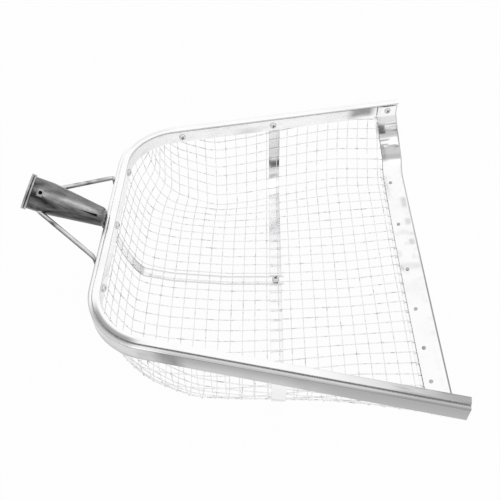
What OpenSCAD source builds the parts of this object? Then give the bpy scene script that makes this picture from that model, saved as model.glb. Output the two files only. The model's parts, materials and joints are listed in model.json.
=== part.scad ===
// Leaf skimmer net: a splayed aluminium frame carries a welded wire basket,
// with a flat lip across the mouth and a rolled steel socket for a pole.
//
// Net coordinates: X = 0 is the back face of the frame and X grows towards the
// mouth, Y = 0 is the middle plane, Z = 0 is the top of the frame.
// The part's origin is the middle of the pole socket's mouth.

/* [Frame] */
// Outer half width of the frame, if its arms ran straight on to the back face
frame_half_w = 142; // [130:1:150]
// Angle that each arm splays out from the middle plane
arm_splay = 11.7; // [9:0.1:13]
// Distance from the back face to the outer corners of the arm ends
frame_l = 320; // [312:1:326]
// Outer radius of the two bent corners
corner_r = 67; // [62:1:72]
// Width of the rail, from its outer face to the lip of its flange
rail_w = 11; // [11:0.1:12]
// Height of the rail
rail_h = 18.5; // [18:0.5:22]
// Wall thickness of the rail
rail_wall = 1.4; // [1.2:0.1:1.5]

/* [Basket] */
// Distance from the frame's outer face to the middle of the mesh wall
mesh_inset = 8.3; // [8.3:0.1:8.4]
// Thickness of the mesh, which is two wires where they cross
mesh_t = 1.8; // [1.6:0.1:1.8]
// Width of each rib of the grid that stands for the wires
rib_w = 2.4; // [2:0.2:3]
// Openings across the floor
floor_cells = 12; // [8:2:12]
// Openings down the wall
wall_cells = 4; // [3:1:5]
// Depth of the basket along its middle, as [distance from the back, depth]
mid_depth = [[30, 86], [60, 92], [120, 95.5], [173, 95], [250, 90], [310, 79], [335, 77]];
// Depth along the foot of the side walls, as [distance from the back, depth]
side_depth = [[30, 84], [60, 99], [105, 110], [145, 104], [200, 89], [250, 76], [335, 76]];
// Reach of the curve between wall and floor, as [distance from the back, reach]
foot_reach = [[38, 30], [90, 17], [145, 28], [250, 43], [310, 52]];
// How square that curve is, as [distance from the back, 0 for slack to 1 for square]
foot_square = [[173, 0.5], [250, 0.55], [335, 0.42]];
// How far the wall bulges out below the frame, as [distance from the back, bulge]
wall_bulge = [[30, 0], [90, 10], [145, 7], [200, 2], [225, 0]];

/* [Straps and lip] */
// Distance from the back face to the middle of the cross strap
strap_x = 173; // [150:1:180]
// Width of the cross strap
cross_strap_w = 13; // [10:0.5:16]
// Width of the long strap
long_strap_w = 12; // [10:0.5:16]
// Thickness of each strap and lip strip
strap_t = 1; // [0.8:0.1:1]
// Distance from the back face to the front edge of the lip
lip_front_x = 333; // [331:1:336]
// Width of the lip strip
lip_w = 24.3; // [22:0.1:26]
// How far the upright ends of the lip lean back towards the pole
lip_lean = 11; // [5:1:14]
// Places of the lip's rivets across the mouth
lip_rivet_y = [138, 68, 0, -54, -102, -140];

/* [Pole socket] */
// Inner diameter of the straight part, for a 28.6 mm pole
pole_d = 29; // [28.8:0.1:29.4]
// Outer diameter of the straight part
socket_d = 32; // [31.6:0.1:32.6]
// Length of the straight part
socket_straight = 22.5; // [18:0.5:30]
// Length of the whole socket
socket_l = 77.5; // [70:0.5:85]
// Outer diameter where the socket meets the frame
socket_end_d = 18.6; // [17:0.1:20]
// Angle of the socket above the plane of the frame
socket_tilt = 28; // [24:1:32]
// Diameter of the hole for the pole's screw
screw_hole_d = 3.8; // [3.5:0.1:4.2]
// Diameter of each brace rod
brace_d = 5; // [4:0.5:6]
// Distance of the left brace's foot from the middle plane
left_foot_y = 62; // [55:1:68]
// Distance of the right brace's foot from the middle plane
right_foot_y = 52; // [48:1:60]

/* [Hidden] */
$fn = 48;

// Rail section, an upside-down channel with a flange over the basket's edge
ledge_w = 3.6;
ledge_drop = 1.5;
groove_w = 0.6;
groove_d = 2;
flange_t = 2.2;
seat_gap = 0.15;
web_inner = mesh_inset - mesh_t / 2 - strap_t - 0.1;
// Plan of the frame: the middle of the left corner's arc
corner_y = frame_half_w + corner_r * tan(arm_splay) - corner_r / cos(arm_splay);
arm_start_x = corner_r * (1 - sin(arm_splay));
arm_l = (frame_l - arm_start_x) / cos(arm_splay);
arm_dir = [cos(arm_splay), sin(arm_splay)];
arm_normal = [-sin(arm_splay), cos(arm_splay)];

// Clamp strip
clamp_t = 1.6;
clamp_top = -2.4;
clamp_bottom = -16.5;
clamp_end_x = 294;
clamp_d = mesh_inset + mesh_t / 2 + seat_gap;

// Screws through the clamp strip
screw_z = -9.5;
screw_d = 4;
screw_head_d = 8;
screw_head_h = 2.4;
screw_tip_d = 1.8;
hole_play = 0.2;
hole_depth = 6;
overcut = 2;
recess_r = 1.1;
recess_h = 1.2;
arm_screw_x = [65, 171, 310];
back_screw_y = [-82, 0, 82];

// Basket surface
mesh_top = -4;
curve_top = -18;
mesh_front_x = 316;
floor_power = 2.2;
bend_steps = 20;
line_steps = 24;
back_inset = mesh_inset + lookup(0, foot_reach);
// Openings round each corner, and along each arm behind and ahead of the cross strap
corner_cells = 3;
cells_behind = 4;
cells_ahead = 5;
// The wider ribs over the cross strap and between the lip strips
strap_rib_w = 9;
front_rib_w = 8;
// Length of the wall down its curve
wall_l = 95;

// Straps
cross_gap = mesh_t / 2;
crossing_gap = mesh_t / 2 + strap_t + 0.05;
strap_overrun = 9;
crossing_half_w = 8;
crossing_ramp = 12;
nut_af = 7;
nut_h = 3.2;
crossing_screw_head_h = 2.4;

// Lip
lip_back_x = lip_front_x - lip_w;
backing_shift = -3;
// The uprights lean from this height up, over this rise
lip_lean_z = -66;
lip_lean_rise = 51;
rivet_d = 3;
rivet_head_d = 4.6;
rivet_head_h = 0.9;
rivet_reach = 8;
upright_rivet_x = 308;
upright_rivet_z = -55;

// Socket
socket_end = [-0.2, 0, 1.4];
socket_axis = [-cos(socket_tilt), 0, sin(socket_tilt)];
socket_mouth = socket_end + socket_l * socket_axis;
socket_wall = (socket_d - pole_d) / 2;
rim_d = 35.6;
rim_l = 4.8;
hole_from_mouth = 12.4;
hole_turn = 35;
collar_d = 6.6;
collar_h = 0.8;
slit_from_mouth = 51;
slit_turn = 46;
slit_w = 3.6;
slit_l = socket_l - slit_from_mouth;
// The tube runs on past its middle length so that it meets the flat rail
tube_run = socket_l + 6;
weld_r = 1.2;
// How far the socket's weld climbs past its sides, in degrees
weld_rise = 25;
// The weld also fills the tube's end, this deep and this far over the rail's ledge
plug_l = 9;
plug_over = 1;

// Braces
brace_top = [-55, 23.5];
brace_side_y = 15.4;
foot_l = 9;
foot_t = 2.6;
foot_w = 6.4;
foot_z = 0;

// ---------------------------------------------------------------- functions

function unit(v) = v / norm(v);
function flip(v) = [v.x, -v.y, v.z];
function mix(a, b, k) = a + (b - a) * k;
function clamp01(k) = min(1, max(0, k));
function ramp01(k) = let (c = clamp01(k)) c * c * (3 - 2 * c);

// Point of the frame's plan on the left side, d inside its outer face:
// u runs 0..1 along the back bar, 1..2 round the corner and 2..3 along the arm
function plan_point(u, d) =
    u <= 1 ? [d, corner_y * u]
    : u <= 2 ? let (a = 180 - (u - 1) * (90 - arm_splay))
        [corner_r, corner_y] + (corner_r - d) * [cos(a), sin(a)]
    : arm_point((u - 2) * arm_l, d);
function arm_point(t, d) =
    [corner_r, corner_y] + (corner_r - d) * arm_normal + t * arm_dir;
// Position along the arm at which a point d inside the outer face has this x
function arm_u(x, d) = 2 + (x - arm_point(0, d).x) / cos(arm_splay) / arm_l;

// Inset and height of the wall's profile at u: w runs -1..0 down the clamped
// edge and 0..1 down the wall and round the curve onto the floor
function reach_at(u) =
    u <= 1 ? lookup(0, foot_reach)
    : lookup(plan_point(u, back_inset).x, foot_reach);
function foot_point(u) = plan_point(u, mesh_inset + reach_at(u));
function foot_z_at(u) =
    u <= 1 ? floor_z(back_inset, u) : -lookup(foot_point(u).x, side_depth);
function wall_profile(u, w) =
    w <= 0 ? [0, mix(curve_top, mesh_top, -w)]
    : let (x = foot_point(u).x,
           fz = foot_z_at(u),
           reach = reach_at(u),
           k = lookup(x, foot_square),
           bulge = lookup(x, wall_bulge) * clamp01((u - 1) * 1.5),
           lean = curve_top + k * (fz - curve_top))
        bezier([0, curve_top], [-bulge, lean], [reach * (1 - k), fz], [reach, fz], w);
function bezier(a, b, c, d, w) =
    pow(1 - w, 3) * a + 3 * w * pow(1 - w, 2) * b
    + 3 * w * w * (1 - w) * c + pow(w, 3) * d;
function wall_point(u, w) =
    let (q = wall_profile(u, w), p = plan_point(u, mesh_inset + q.x))
    [p.x, p.y, q.y];

// Height of the floor at x, for v from 0 at the middle to 1 at the wall's foot
function floor_z(x, v) =
    mix(-lookup(x, mid_depth), -lookup(x, side_depth), pow(abs(v), floor_power));

// Point of the left wall whose x is given
function wall_at_x(x, w) =
    let (u0 = arm_u(x, mesh_inset),
         u1 = arm_u(x, mesh_inset + wall_profile(u0, w).x))
    wall_point(u1, w);

// Line across the basket from the left wall's top to the right wall's top:
// lean moves its upper ends back, and top is the height where it stops
function line_across(x, top, lean) =
    let (w0 = top > curve_top ? -(top - curve_top) / (mesh_top - curve_top)
                              : first_w(x, top),
         foot = wall_at_x(x, 1),
         left = [for (i = [0:line_steps])
                    let (w = mix(w0, 1, i / line_steps), z = wall_at_x(x, w).z)
                    wall_at_x(x - lean * clamp01((z - lip_lean_z) / lip_lean_rise), w)],
         half = [for (i = [1:line_steps])
                    let (v = 1 - i / line_steps) [foot.x, foot.y * v, floor_z(foot.x, v)]],
         all_left = concat(left, half))
    concat(all_left, [for (i = [len(all_left) - 2:-1:0]) flip(all_left[i])]);
// Profile position at which the wall is this high
function first_w(x, z, lo = 0, hi = 1, n = 12) =
    n == 0 ? lo
    : let (m = (lo + hi) / 2)
        wall_at_x(x, m).z > z ? first_w(x, z, m, hi, n - 1) : first_w(x, z, lo, m, n - 1);

// Outward normals along a strip whose two edges are the lines a and b
function strip_normals(a, b) =
    [for (i = [0:len(a) - 1])
        let (i0 = max(i - 1, 0), i1 = min(i + 1, len(a) - 1))
        unit(cross(b[i] - a[i], a[i1] + b[i1] - a[i0] - b[i0]))];

// Stations along a line of ribs, each rib [from, to, parts of the opening before it]:
// every station is [position, whether the stretch up to it belongs to a rib]
function grid_line(ribs) =
    [for (k = [0:len(ribs) - 1]) each concat(
        k == 0 ? [[ribs[0][0], true]]
               : [for (i = [1:ribs[k][2]])
                     [mix(ribs[k - 1][1], ribs[k][0], i / ribs[k][2]), false]],
        [[ribs[k][1], true]])];

// Unit normal of a grid of points at [i, j]
function grid_normal(g, i, j) =
    let (i0 = max(i - 1, 0), i1 = min(i + 1, len(g) - 1),
         j0 = max(j - 1, 0), j1 = min(j + 1, len(g[0]) - 1))
    unit(cross(g[i1][j] - g[i0][j], g[i][j1] - g[i][j0]));

// Outer radius of the socket at s from its mouth
function socket_radius(s) =
    s <= socket_straight ? socket_d / 2
    : mix(socket_d, socket_end_d, (s - socket_straight) / (socket_l - socket_straight)) / 2;

// ------------------------------------------------------------------ helpers

// Moves a piece from net coordinates to the part's own origin
module in_place() {
    translate(-socket_mouth)
        children();
}

// Closed solid through rings of points, one ring for each station
module loft(rings) {
    n = len(rings[0]);
    last = n * (len(rings) - 1);
    sides = [for (i = [0:len(rings) - 2])
                for (k = [0:n - 1])
                    let (p = n * i + k, q = n * i + (k + 1) % n)
                    each [[p, q, q + n], [p, q + n, p + n]]];
    start = [for (k = [n - 1:-1:0]) k];
    end = [for (k = [0:n - 1]) last + k];
    polyhedron([for (ring = rings) each ring], concat(sides, [start, end]), convexity = 8);
}

// Sweeps a section round the frame, from the left arm's end to the right's:
// x in the section is the distance inside the outer face and y the height
module round_frame(section, end_x) {
    end_u = 2 + (end_x - arm_start_x) / cos(arm_splay) / arm_l;
    half = concat([for (k = [0:bend_steps]) 1 + k / bend_steps], end_u);
    n = len(half) - 1;
    stations = concat([for (i = [n:-1:0]) [half[i], 1]], [for (u = half) [u, -1]]);
    loft([for (s = stations)
             [for (q = section)
                 let (p = plan_point(s[0], q.x)) [p.x, s[1] * p.y, q.y]]]);
}

// Puts a piece that points along +Z on an arm at x, pointing into the rail,
// with its zero on the clamp strip's inner face
module on_arm(x, side) {
    t = (x - arm_point(0, clamp_d + clamp_t).x) / cos(arm_splay);
    mirror([0, side > 0 ? 0 : 1, 0])
        translate(concat(arm_point(t, clamp_d + clamp_t), screw_z))
            rotate(arm_splay)
                rotate([-90, 0, 0])
                    children();
}

// The same on the back bar at y
module on_back(y) {
    translate([clamp_d + clamp_t, y, screw_z])
        rotate([0, -90, 0])
            children();
}

// Pan head screw with its shank along +Z and its head seated at sink
module pan_screw(sink = 0) {
    head_r = screw_head_d / 2;
    translate([0, 0, sink])
        rotate_extrude()
            difference() {
                union() {
                    polygon([[0, -screw_head_h], [head_r * 0.55, -screw_head_h],
                             [head_r * 0.85, -screw_head_h * 0.8],
                             [head_r, -screw_head_h * 0.35], [head_r, 0], [0, 0]]);
                    square([screw_d / 2, clamp_d + clamp_t - screw_tip_d - sink]);
                }
                translate([0, -screw_head_h])
                    square([recess_r, recess_h]);
            }
}

module screw_holes(d = screw_d + hole_play, depth = hole_depth) {
    for (side = [-1, 1])
        for (x = arm_screw_x)
            on_arm(x, side)
                translate([0, 0, -overcut])
                    cylinder(h = depth + overcut, d = d, $fn = 24);
    for (y = back_screw_y)
        on_back(y)
            translate([0, 0, -overcut])
                cylinder(h = depth + overcut, d = d, $fn = 24);
}

// Hole straight down through the middle of both straps
module crossing_hole(d) {
    translate([strap_x, 0, floor_z(strap_x, 0) - hole_depth])
        cylinder(h = 2 * hole_depth, d = d, $fn = 24);
}

// Closed strip between the edge lines a and b, from near to far outside the
// basket surface, where near is one distance for each station
module strip(a, b, near, t) {
    n = strip_normals(a, b);
    loft([for (i = [0:len(a) - 1])
             let (top = n[i] * near[i], under = n[i] * (near[i] + t))
             [a[i] + top, b[i] + top, b[i] + under, a[i] + under]]);
}

module at_socket(s = 0) {
    translate(socket_mouth - s * socket_axis)
        rotate([0, 90 + socket_tilt, 0])
            children();
}

module socket_outside() {
    at_socket()
        rotate_extrude($fn = 72)
            polygon([[0, 0], [socket_d / 2, 0],
                     [socket_d / 2, socket_straight],
                     [socket_radius(tube_run), tube_run], [0, tube_run]]);
}

// The back bar's outer wall up to its ledge
module rail_outside() {
    translate([0, -frame_half_w, -rail_h])
        cube([rail_w, 2 * frame_half_w, rail_h - ledge_drop]);
}

// Turns a piece about the socket's axis, from its top towards the right side,
// so that its +Z points outwards and its +Y points at the frame
module round_socket(s, turn) {
    at_socket(s)
        rotate(turn - 90)
            rotate([90, 0, 0])
                children();
}

// ------------------------------------------------------------------- pieces

module frame_hoop() {
    ledge_end = ledge_w + groove_w;
    roof = -groove_d - rail_wall;
    channel = [[0.4, -rail_h], [0, 0.4 - rail_h], [0, -ledge_drop - 0.5],
               [0.5, -ledge_drop], [ledge_w, -ledge_drop], [ledge_w, -groove_d],
               [ledge_end, -groove_d], [ledge_end, -0.4], [ledge_end + 0.4, 0],
               [rail_w - 0.6, 0], [rail_w, -0.6], [rail_w, -flange_t],
               [web_inner, -flange_t], [web_inner, -rail_h],
               [web_inner - rail_wall, -rail_h], [web_inner - rail_wall, roof],
               [rail_wall, roof], [rail_wall, -rail_h]];
    color("whitesmoke")
        difference() {
            round_frame(channel, frame_l);
            screw_holes(screw_d, clamp_d + clamp_t - rail_wall - 1);
        }
}

module clamp_strip() {
    color("gainsboro")
        difference() {
            round_frame([[clamp_d, clamp_bottom], [clamp_d, clamp_top],
                         [clamp_d + clamp_t, clamp_top], [clamp_d + clamp_t, clamp_bottom]],
                        clamp_end_x);
            screw_holes();
        }
}

// The basket as a plain grid of ribs, which stands for its finer wires
module mesh_basket() {
    half_count = floor_cells / 2;
    rib_v = rib_w / 2 / corner_y;
    rib_a = rib_w / 2 / (corner_r - mesh_inset) / (90 - arm_splay) * 180 / PI;
    rib_t = rib_w / 2 / wall_l;
    // Stations from the middle of the back bar to the end of the left arm
    back_line = grid_line(concat(
        [[0, rib_v, 1]],
        [for (k = [1:half_count - 1]) [k / half_count - rib_v, k / half_count + rib_v, 1]],
        [[1 - 2 * rib_v, 1, 1]]));
    corner_ribs = [for (k = [1:corner_cells - 1])
                      [1 + k / corner_cells - rib_a, 1 + k / corner_cells + rib_a, 2]];
    bend_x = plan_point(2, back_inset).x;
    front_x = mesh_front_x - front_rib_w / 2;
    arm_ribs = concat(
        [for (k = [1:cells_behind - 1]) [mix(bend_x, strap_x, k / cells_behind), rib_w]],
        [[strap_x, strap_rib_w]],
        [for (k = [1:cells_ahead - 1]) [mix(strap_x, front_x, k / cells_ahead), rib_w]],
        [[front_x, front_rib_w]]);
    side_line = grid_line(concat(
        [[1, 1, 1]], corner_ribs,
        [[2 - rib_a, arm_u(bend_x + rib_w / 2, back_inset), 2]],
        [for (r = arm_ribs)
            [arm_u(r[0] - r[1] / 2, back_inset), arm_u(r[0] + r[1] / 2, back_inset), 1]]));
    half = concat(back_line, [for (k = [2:len(side_line) - 1]) side_line[k]]);
    // Stations from the clamped edge down to the foot of the wall
    down = concat([[-1, true]], grid_line(concat(
        [[0, 2 * rib_t, 1]],
        [for (k = [1:wall_cells - 1]) [k / wall_cells - rib_t, k / wall_cells + rib_t, 2]],
        [[1 - rib_t, 1, 2]])));
    n = len(half) - 1;
    mid = len(back_line) - 1;
    rows = len(down);
    top = rows - 1;
    wall = [for (s = [-n:n])
               [for (w = down)
                   s < 0 ? flip(wall_point(half[-s][0], w[0])) : wall_point(half[s][0], w[0])]];
    runs = n - mid;
    cols = 2 * mid;
    base = [for (i = [0:runs])
               let (foot = foot_point(half[mid + i][0]))
               [for (c = [-mid:mid])
                   let (v = sign(c) * half[abs(c)][0]) [foot.x, foot.y * v, floor_z(foot.x, v)]]];
    wall_n = [for (s = [0:2 * n]) [for (t = [0:top]) grid_normal(wall, s, t)]];
    base_n = [for (i = [0:runs]) [for (c = [0:cols]) -grid_normal(base, i, c)]];
    // One index for every point of the surface; the floor shares its rim
    wall_count = (2 * n + 1) * rows;
    function wall_id(s, t) = s * rows + t;
    function base_id(i, c) =
        i == 0 ? wall_id(n - mid + c, top)
        : c == 0 ? wall_id(n - mid - i, top)
        : c == cols ? wall_id(n + mid + i, top)
        : wall_count + (i - 1) * (cols - 1) + c - 1;
    // Whether a field of the wall or of the floor is open: the ribs of the corner
    // run so close together on the floor that only the last one goes on there
    floor_start = 1 + 1.1 / corner_cells;
    ribs_start = 2 - 0.9 / corner_cells;
    function column_open(k) = !half[max(abs(k), abs(k + 1))][1];
    function wall_open(s, t) =
        s >= 0 && s < 2 * n && t >= 0 && t < top && column_open(s - n) && !down[t + 1][1];
    function row_open(i) =
        let (station = half[mid + i + 1])
        i > 0 && station[0] > floor_start && (!station[1] || station[0] < ribs_start);
    function base_open(i, c) =
        i >= 0 && i < runs && c >= 0 && c < cols && row_open(i) && column_open(c - mid);
    spots = concat([for (s = [0:2 * n]) for (t = [0:top]) wall[s][t]],
                   [for (i = [1:runs]) for (c = [1:cols - 1]) base[i][c]]);
    normals = concat([for (s = [0:2 * n]) for (t = [0:top]) wall_n[s][t]],
                     [for (i = [1:runs]) for (c = [1:cols - 1]) base_n[i][c]]);
    total = len(spots);
    points = concat([for (i = [0:total - 1]) spots[i] - normals[i] * mesh_t / 2],
                    [for (i = [0:total - 1]) spots[i] + normals[i] * mesh_t / 2]);
    quads = concat(
        [for (s = [0:2 * n - 1]) for (t = [0:top - 1]) if (!wall_open(s, t))
            [wall_id(s, t), wall_id(s + 1, t), wall_id(s + 1, t + 1), wall_id(s, t + 1)]],
        [for (i = [0:runs - 1]) for (c = [0:cols - 1]) if (!base_open(i, c))
            [base_id(i, c), base_id(i, c + 1), base_id(i + 1, c + 1), base_id(i + 1, c)]]);
    rim = concat([for (s = [0:2 * n]) wall_id(s, 0)],
                 [for (t = [1:top]) wall_id(2 * n, t)],
                 [for (c = [cols - 1:-1:1]) base_id(runs, c)],
                 [for (t = [top:-1:1]) wall_id(0, t)]);
    // Every edge that a face has on its own: the rim and the sides of each opening
    sides = concat(
        [for (i = [0:len(rim) - 1]) [rim[i], rim[(i + 1) % len(rim)]]],
        [for (s = [0:2 * n - 1]) for (t = [0:top - 1]) if (wall_open(s, t)) each [
            if (!wall_open(s, t - 1)) [wall_id(s + 1, t), wall_id(s, t)],
            if (!wall_open(s + 1, t)) [wall_id(s + 1, t + 1), wall_id(s + 1, t)],
            if (!wall_open(s, t + 1)) [wall_id(s, t + 1), wall_id(s + 1, t + 1)],
            if (!wall_open(s - 1, t)) [wall_id(s, t), wall_id(s, t + 1)]]],
        [for (i = [0:runs - 1]) for (c = [0:cols - 1]) if (base_open(i, c)) each [
            if (!base_open(i - 1, c)) [base_id(i, c + 1), base_id(i, c)],
            if (!base_open(i, c + 1)) [base_id(i + 1, c + 1), base_id(i, c + 1)],
            if (!base_open(i + 1, c)) [base_id(i + 1, c), base_id(i + 1, c + 1)],
            if (!base_open(i, c - 1)) [base_id(i, c), base_id(i + 1, c)]]]);
    faces = concat(
        [for (q = quads) each [[q[0], q[1], q[2]], [q[0], q[2], q[3]]]],
        [for (q = quads)
            each [[q[2], q[1], q[0]] + total * [1, 1, 1],
                  [q[3], q[2], q[0]] + total * [1, 1, 1]]],
        [for (e = sides)
            each [[e[1], e[0], e[0] + total], [e[1], e[0] + total, e[1] + total]]]);
    color("lightsteelblue")
        difference() {
            polyhedron(points, faces, convexity = 10);
            screw_holes(screw_d + 1);
            rivet_holes();
            crossing_hole(screw_d + 1);
        }
}

module cross_strap() {
    a = line_across(strap_x - cross_strap_w / 2, mesh_top, 0);
    b = line_across(strap_x + cross_strap_w / 2, mesh_top, 0);
    lift = [for (p = a)
               mix(crossing_gap, cross_gap,
                   ramp01((abs(p.y) - crossing_half_w) / crossing_ramp))];
    color("silver")
        difference() {
            strip(a, b, lift, strap_t);
            for (side = [-1, 1])
                on_arm(arm_screw_x[1], side)
                    cylinder(h = hole_depth, d = screw_d + hole_play, $fn = 24);
            crossing_hole(screw_d + hole_play);
        }
}

module long_strap() {
    start = back_inset;
    steps = 12;
    wall = [for (i = [0:steps])
               let (p = wall_point(0, i == 0 ? -1 : (i - 1) / (steps - 1))) [p.x, p.z]];
    floor_line = [for (i = [1:steps])
                     let (x = mix(start, strap_x + strap_overrun, i / steps))
                     [x, floor_z(x, 0)]];
    path = concat(wall, floor_line);
    last = len(path) - 1;
    normals = [for (i = [0:last])
                  let (d = unit(path[min(i + 1, last)] - path[max(i - 1, 0)])) [d.y, -d.x]];
    near = mesh_t / 2;
    color("silver")
        difference() {
            translate([0, long_strap_w / 2, 0])
                rotate([90, 0, 0])
                    linear_extrude(long_strap_w)
                        polygon(concat(
                            [for (i = [0:last]) path[i] + normals[i] * near],
                            [for (i = [last:-1:0]) path[i] + normals[i] * (near + strap_t)]));
            crossing_hole(screw_d + hole_play);
            on_back(0)
                cylinder(h = hole_depth, d = screw_d + hole_play, $fn = 24);
        }
}

module strap_screw() {
    z = floor_z(strap_x, 0) + mesh_t / 2;
    grip = mesh_t + 2 * strap_t + nut_h + 0.8;
    color("darkgray")
        translate([strap_x, 0, z])
            rotate([180, 0, 0])
                rotate_extrude()
                    difference() {
                        union() {
                            polygon([[0, -crossing_screw_head_h],
                                     [2.4, -crossing_screw_head_h],
                                     [3.4, -crossing_screw_head_h * 0.75],
                                     [4, -crossing_screw_head_h * 0.3], [4, 0], [0, 0]]);
                            square([screw_d / 2, grip]);
                        }
                        translate([0, -crossing_screw_head_h])
                            square([recess_r, recess_h]);
                    }
}

module strap_nut() {
    z = floor_z(strap_x, 0) - crossing_gap - strap_t;
    color("darkgray")
        translate([strap_x, 0, z - nut_h - 0.02])
            difference() {
                cylinder(h = nut_h, d = nut_af / cos(30), $fn = 6);
                translate([0, 0, -1])
                    cylinder(h = nut_h + 2, d = screw_d + 0.04);
            }
}

// The front screw of each arm seats on the lip and the others on the clamp strip
module arm_screw_set(side) {
    lip_sink = clamp_t + seat_gap - strap_t;
    for (i = [0:2])
        on_arm(arm_screw_x[i], side)
            pan_screw(i == 2 ? lip_sink : 0);
}

module left_arm_screws() {
    color("darkgray")
        arm_screw_set(1);
}

module right_arm_screws() {
    color("darkgray")
        arm_screw_set(-1);
}

module back_screws() {
    color("darkgray")
        for (y = back_screw_y)
            on_back(y)
                pan_screw();
}

// Puts a rivet square to the mouth's flat floor, with its zero in the mesh
module on_lip(y) {
    x = lip_front_x - lip_w * 0.72;
    foot = wall_at_x(x, 1);
    translate([x, y, floor_z(x, min(1, abs(y) / foot.y))])
        children();
}

// The same on the upright end of the lip
module on_upright(side) {
    w = first_w(upright_rivet_x, upright_rivet_z);
    p = wall_at_x(upright_rivet_x, w);
    q = wall_at_x(upright_rivet_x, w + 0.02);
    down = unit(q - p);
    mirror([0, side > 0 ? 0 : 1, 0])
        translate(p)
            rotate(arm_splay)
                rotate([acos(-down.z), 0, 0])
                    children();
}

module rivet(d = rivet_d) {
    grip = mesh_t / 2 + strap_t;
    rotate_extrude(convexity = 4)
        polygon([[0, -grip - 0.8], [rivet_head_d / 2 - 0.3, -grip - 0.8],
                 [rivet_head_d / 2, -grip - 0.02], [d / 2, -grip - 0.02],
                 [d / 2, grip + 0.02], [rivet_head_d / 2, grip + 0.02],
                 [rivet_head_d / 2 - 0.5, grip + rivet_head_h * 0.7],
                 [rivet_head_d / 4, grip + rivet_head_h], [0, grip + rivet_head_h]]);
}

module rivet_holes() {
    for (y = lip_rivet_y)
        on_lip(y)
            translate([0, 0, -rivet_reach])
                cylinder(h = 2 * rivet_reach, d = rivet_d + hole_play, $fn = 16);
    for (side = [-1, 1])
        on_upright(side)
            translate([0, 0, -rivet_reach])
                cylinder(h = 2 * rivet_reach, d = rivet_d + hole_play, $fn = 16);
}

module lip_strip() {
    a = line_across(lip_back_x, mesh_top, lip_lean);
    b = line_across(lip_front_x, mesh_top, lip_lean);
    color("whitesmoke")
        difference() {
            strip(a, b, [for (p = a) -mesh_t / 2 - strap_t], strap_t);
            rivet_holes();
            for (side = [-1, 1])
                on_arm(arm_screw_x[2], side)
                    translate([0, 0, -overcut])
                        cylinder(h = hole_depth + overcut, d = screw_d + hole_play, $fn = 24);
        }
}

module lip_backing_strip() {
    top = curve_top - 1.5;
    a = line_across(lip_back_x + backing_shift, top, lip_lean);
    b = line_across(lip_front_x + backing_shift, top, lip_lean);
    color("whitesmoke")
        difference() {
            strip(a, b, [for (p = a) mesh_t / 2], strap_t);
            rivet_holes();
        }
}

module lip_rivets() {
    color("gray")
        union() {
            for (y = lip_rivet_y)
                on_lip(y)
                    rivet();
            for (side = [-1, 1])
                on_upright(side)
                    rivet();
        }
}

module pole_socket() {
    rim_r = rim_d / 2;
    tube_end_r = socket_radius(tube_run);
    color("dimgray")
        difference() {
            union() {
                at_socket()
                    rotate_extrude($fn = 72)
                        polygon([[pole_d / 2, 0], [rim_r - 0.8, 0], [rim_r, 0.6],
                                 [rim_r, 1.6], [rim_r - 0.7, rim_l / 2],
                                 [rim_r, rim_l - 1.6], [rim_r, rim_l - 0.6],
                                 [rim_r - 0.8, rim_l], [socket_d / 2, rim_l],
                                 [socket_d / 2, socket_straight],
                                 [tube_end_r, tube_run],
                                 [tube_end_r - socket_wall, tube_run],
                                 [pole_d / 2, socket_straight]]);
                round_socket(hole_from_mouth, hole_turn)
                    translate([0, 0, pole_d / 2 + 0.5])
                        cylinder(h = socket_wall - 0.5 + collar_h, d = collar_d);
            }
            round_socket(hole_from_mouth, hole_turn)
                cylinder(h = socket_d, d = screw_hole_d);
            round_socket(slit_from_mouth, slit_turn)
                linear_extrude(socket_d)
                    polygon([[0, 0], [slit_w * 0.6, slit_l * 1.2], [-slit_w * 0.6, slit_l * 1.2]]);
            translate([0, -socket_d, -socket_d])
                cube(2 * socket_d);
        }
}

module socket_weld() {
    plug_from = socket_l - plug_l;
    color("lightslategray") {
        difference() {
            translate([-0.4, 0, socket_end.z])
                rotate([0, 90, 0])
                    rotate(-90 - weld_rise)
                        rotate_extrude(angle = 180 + 2 * weld_rise)
                            translate([(socket_end_d + weld_r) / 2, 0])
                                circle(weld_r, $fn = 24);
            socket_outside();
            rail_outside();
        }
        difference() {
            at_socket()
                rotate_extrude($fn = 72)
                    polygon([[0, plug_from],
                             [socket_radius(plug_from) - socket_wall, plug_from],
                             [socket_radius(tube_run) - socket_wall, tube_run],
                             [0, tube_run]]);
            translate([plug_over, -socket_d, -socket_d])
                cube(2 * socket_d);
            rail_outside();
        }
    }
}

// Brace on the left side; the right one is its mirror with another foot
module brace(foot_y) {
    top = [brace_top.x, brace_side_y, brace_top.y];
    foot = [-foot_t / 2, foot_y, foot_z];
    run = foot - top;
    color("silver")
        difference() {
            union() {
                translate(top)
                    rotate([0, acos(run.z / norm(run)), atan2(run.y, run.x)])
                        cylinder(h = norm(run), d = brace_d);
                translate([-foot_t, foot_y - foot_w / 2, foot_z - foot_l])
                    cube([foot_t, foot_w, foot_l]);
                translate(foot)
                    sphere(d = brace_d + 0.8);
            }
            socket_outside();
            rail_outside();
        }
}

module left_brace() {
    brace(left_foot_y);
}

module right_brace() {
    mirror([0, 1, 0])
        brace(right_foot_y);
}

// Beads that hold one brace to the socket and to the rail
module brace_weld_set(foot_y) {
    top = [brace_top.x, brace_side_y, brace_top.y];
    color("lightslategray")
        difference() {
            union() {
                translate(top)
                    rotate([0, socket_tilt, 0])
                        scale([1.4, 1, 1])
                            sphere(r = 3.1);
                translate([-1.2, foot_y, foot_z - foot_l])
                    rotate([90, 0, 0])
                        cylinder(h = foot_w + 2, r = weld_r, center = true, $fn = 24);
            }
            brace(foot_y);
            socket_outside();
            rail_outside();
        }
}

module left_brace_welds() {
    brace_weld_set(left_foot_y);
}

module right_brace_welds() {
    mirror([0, 1, 0])
        brace_weld_set(right_foot_y);
}

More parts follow.
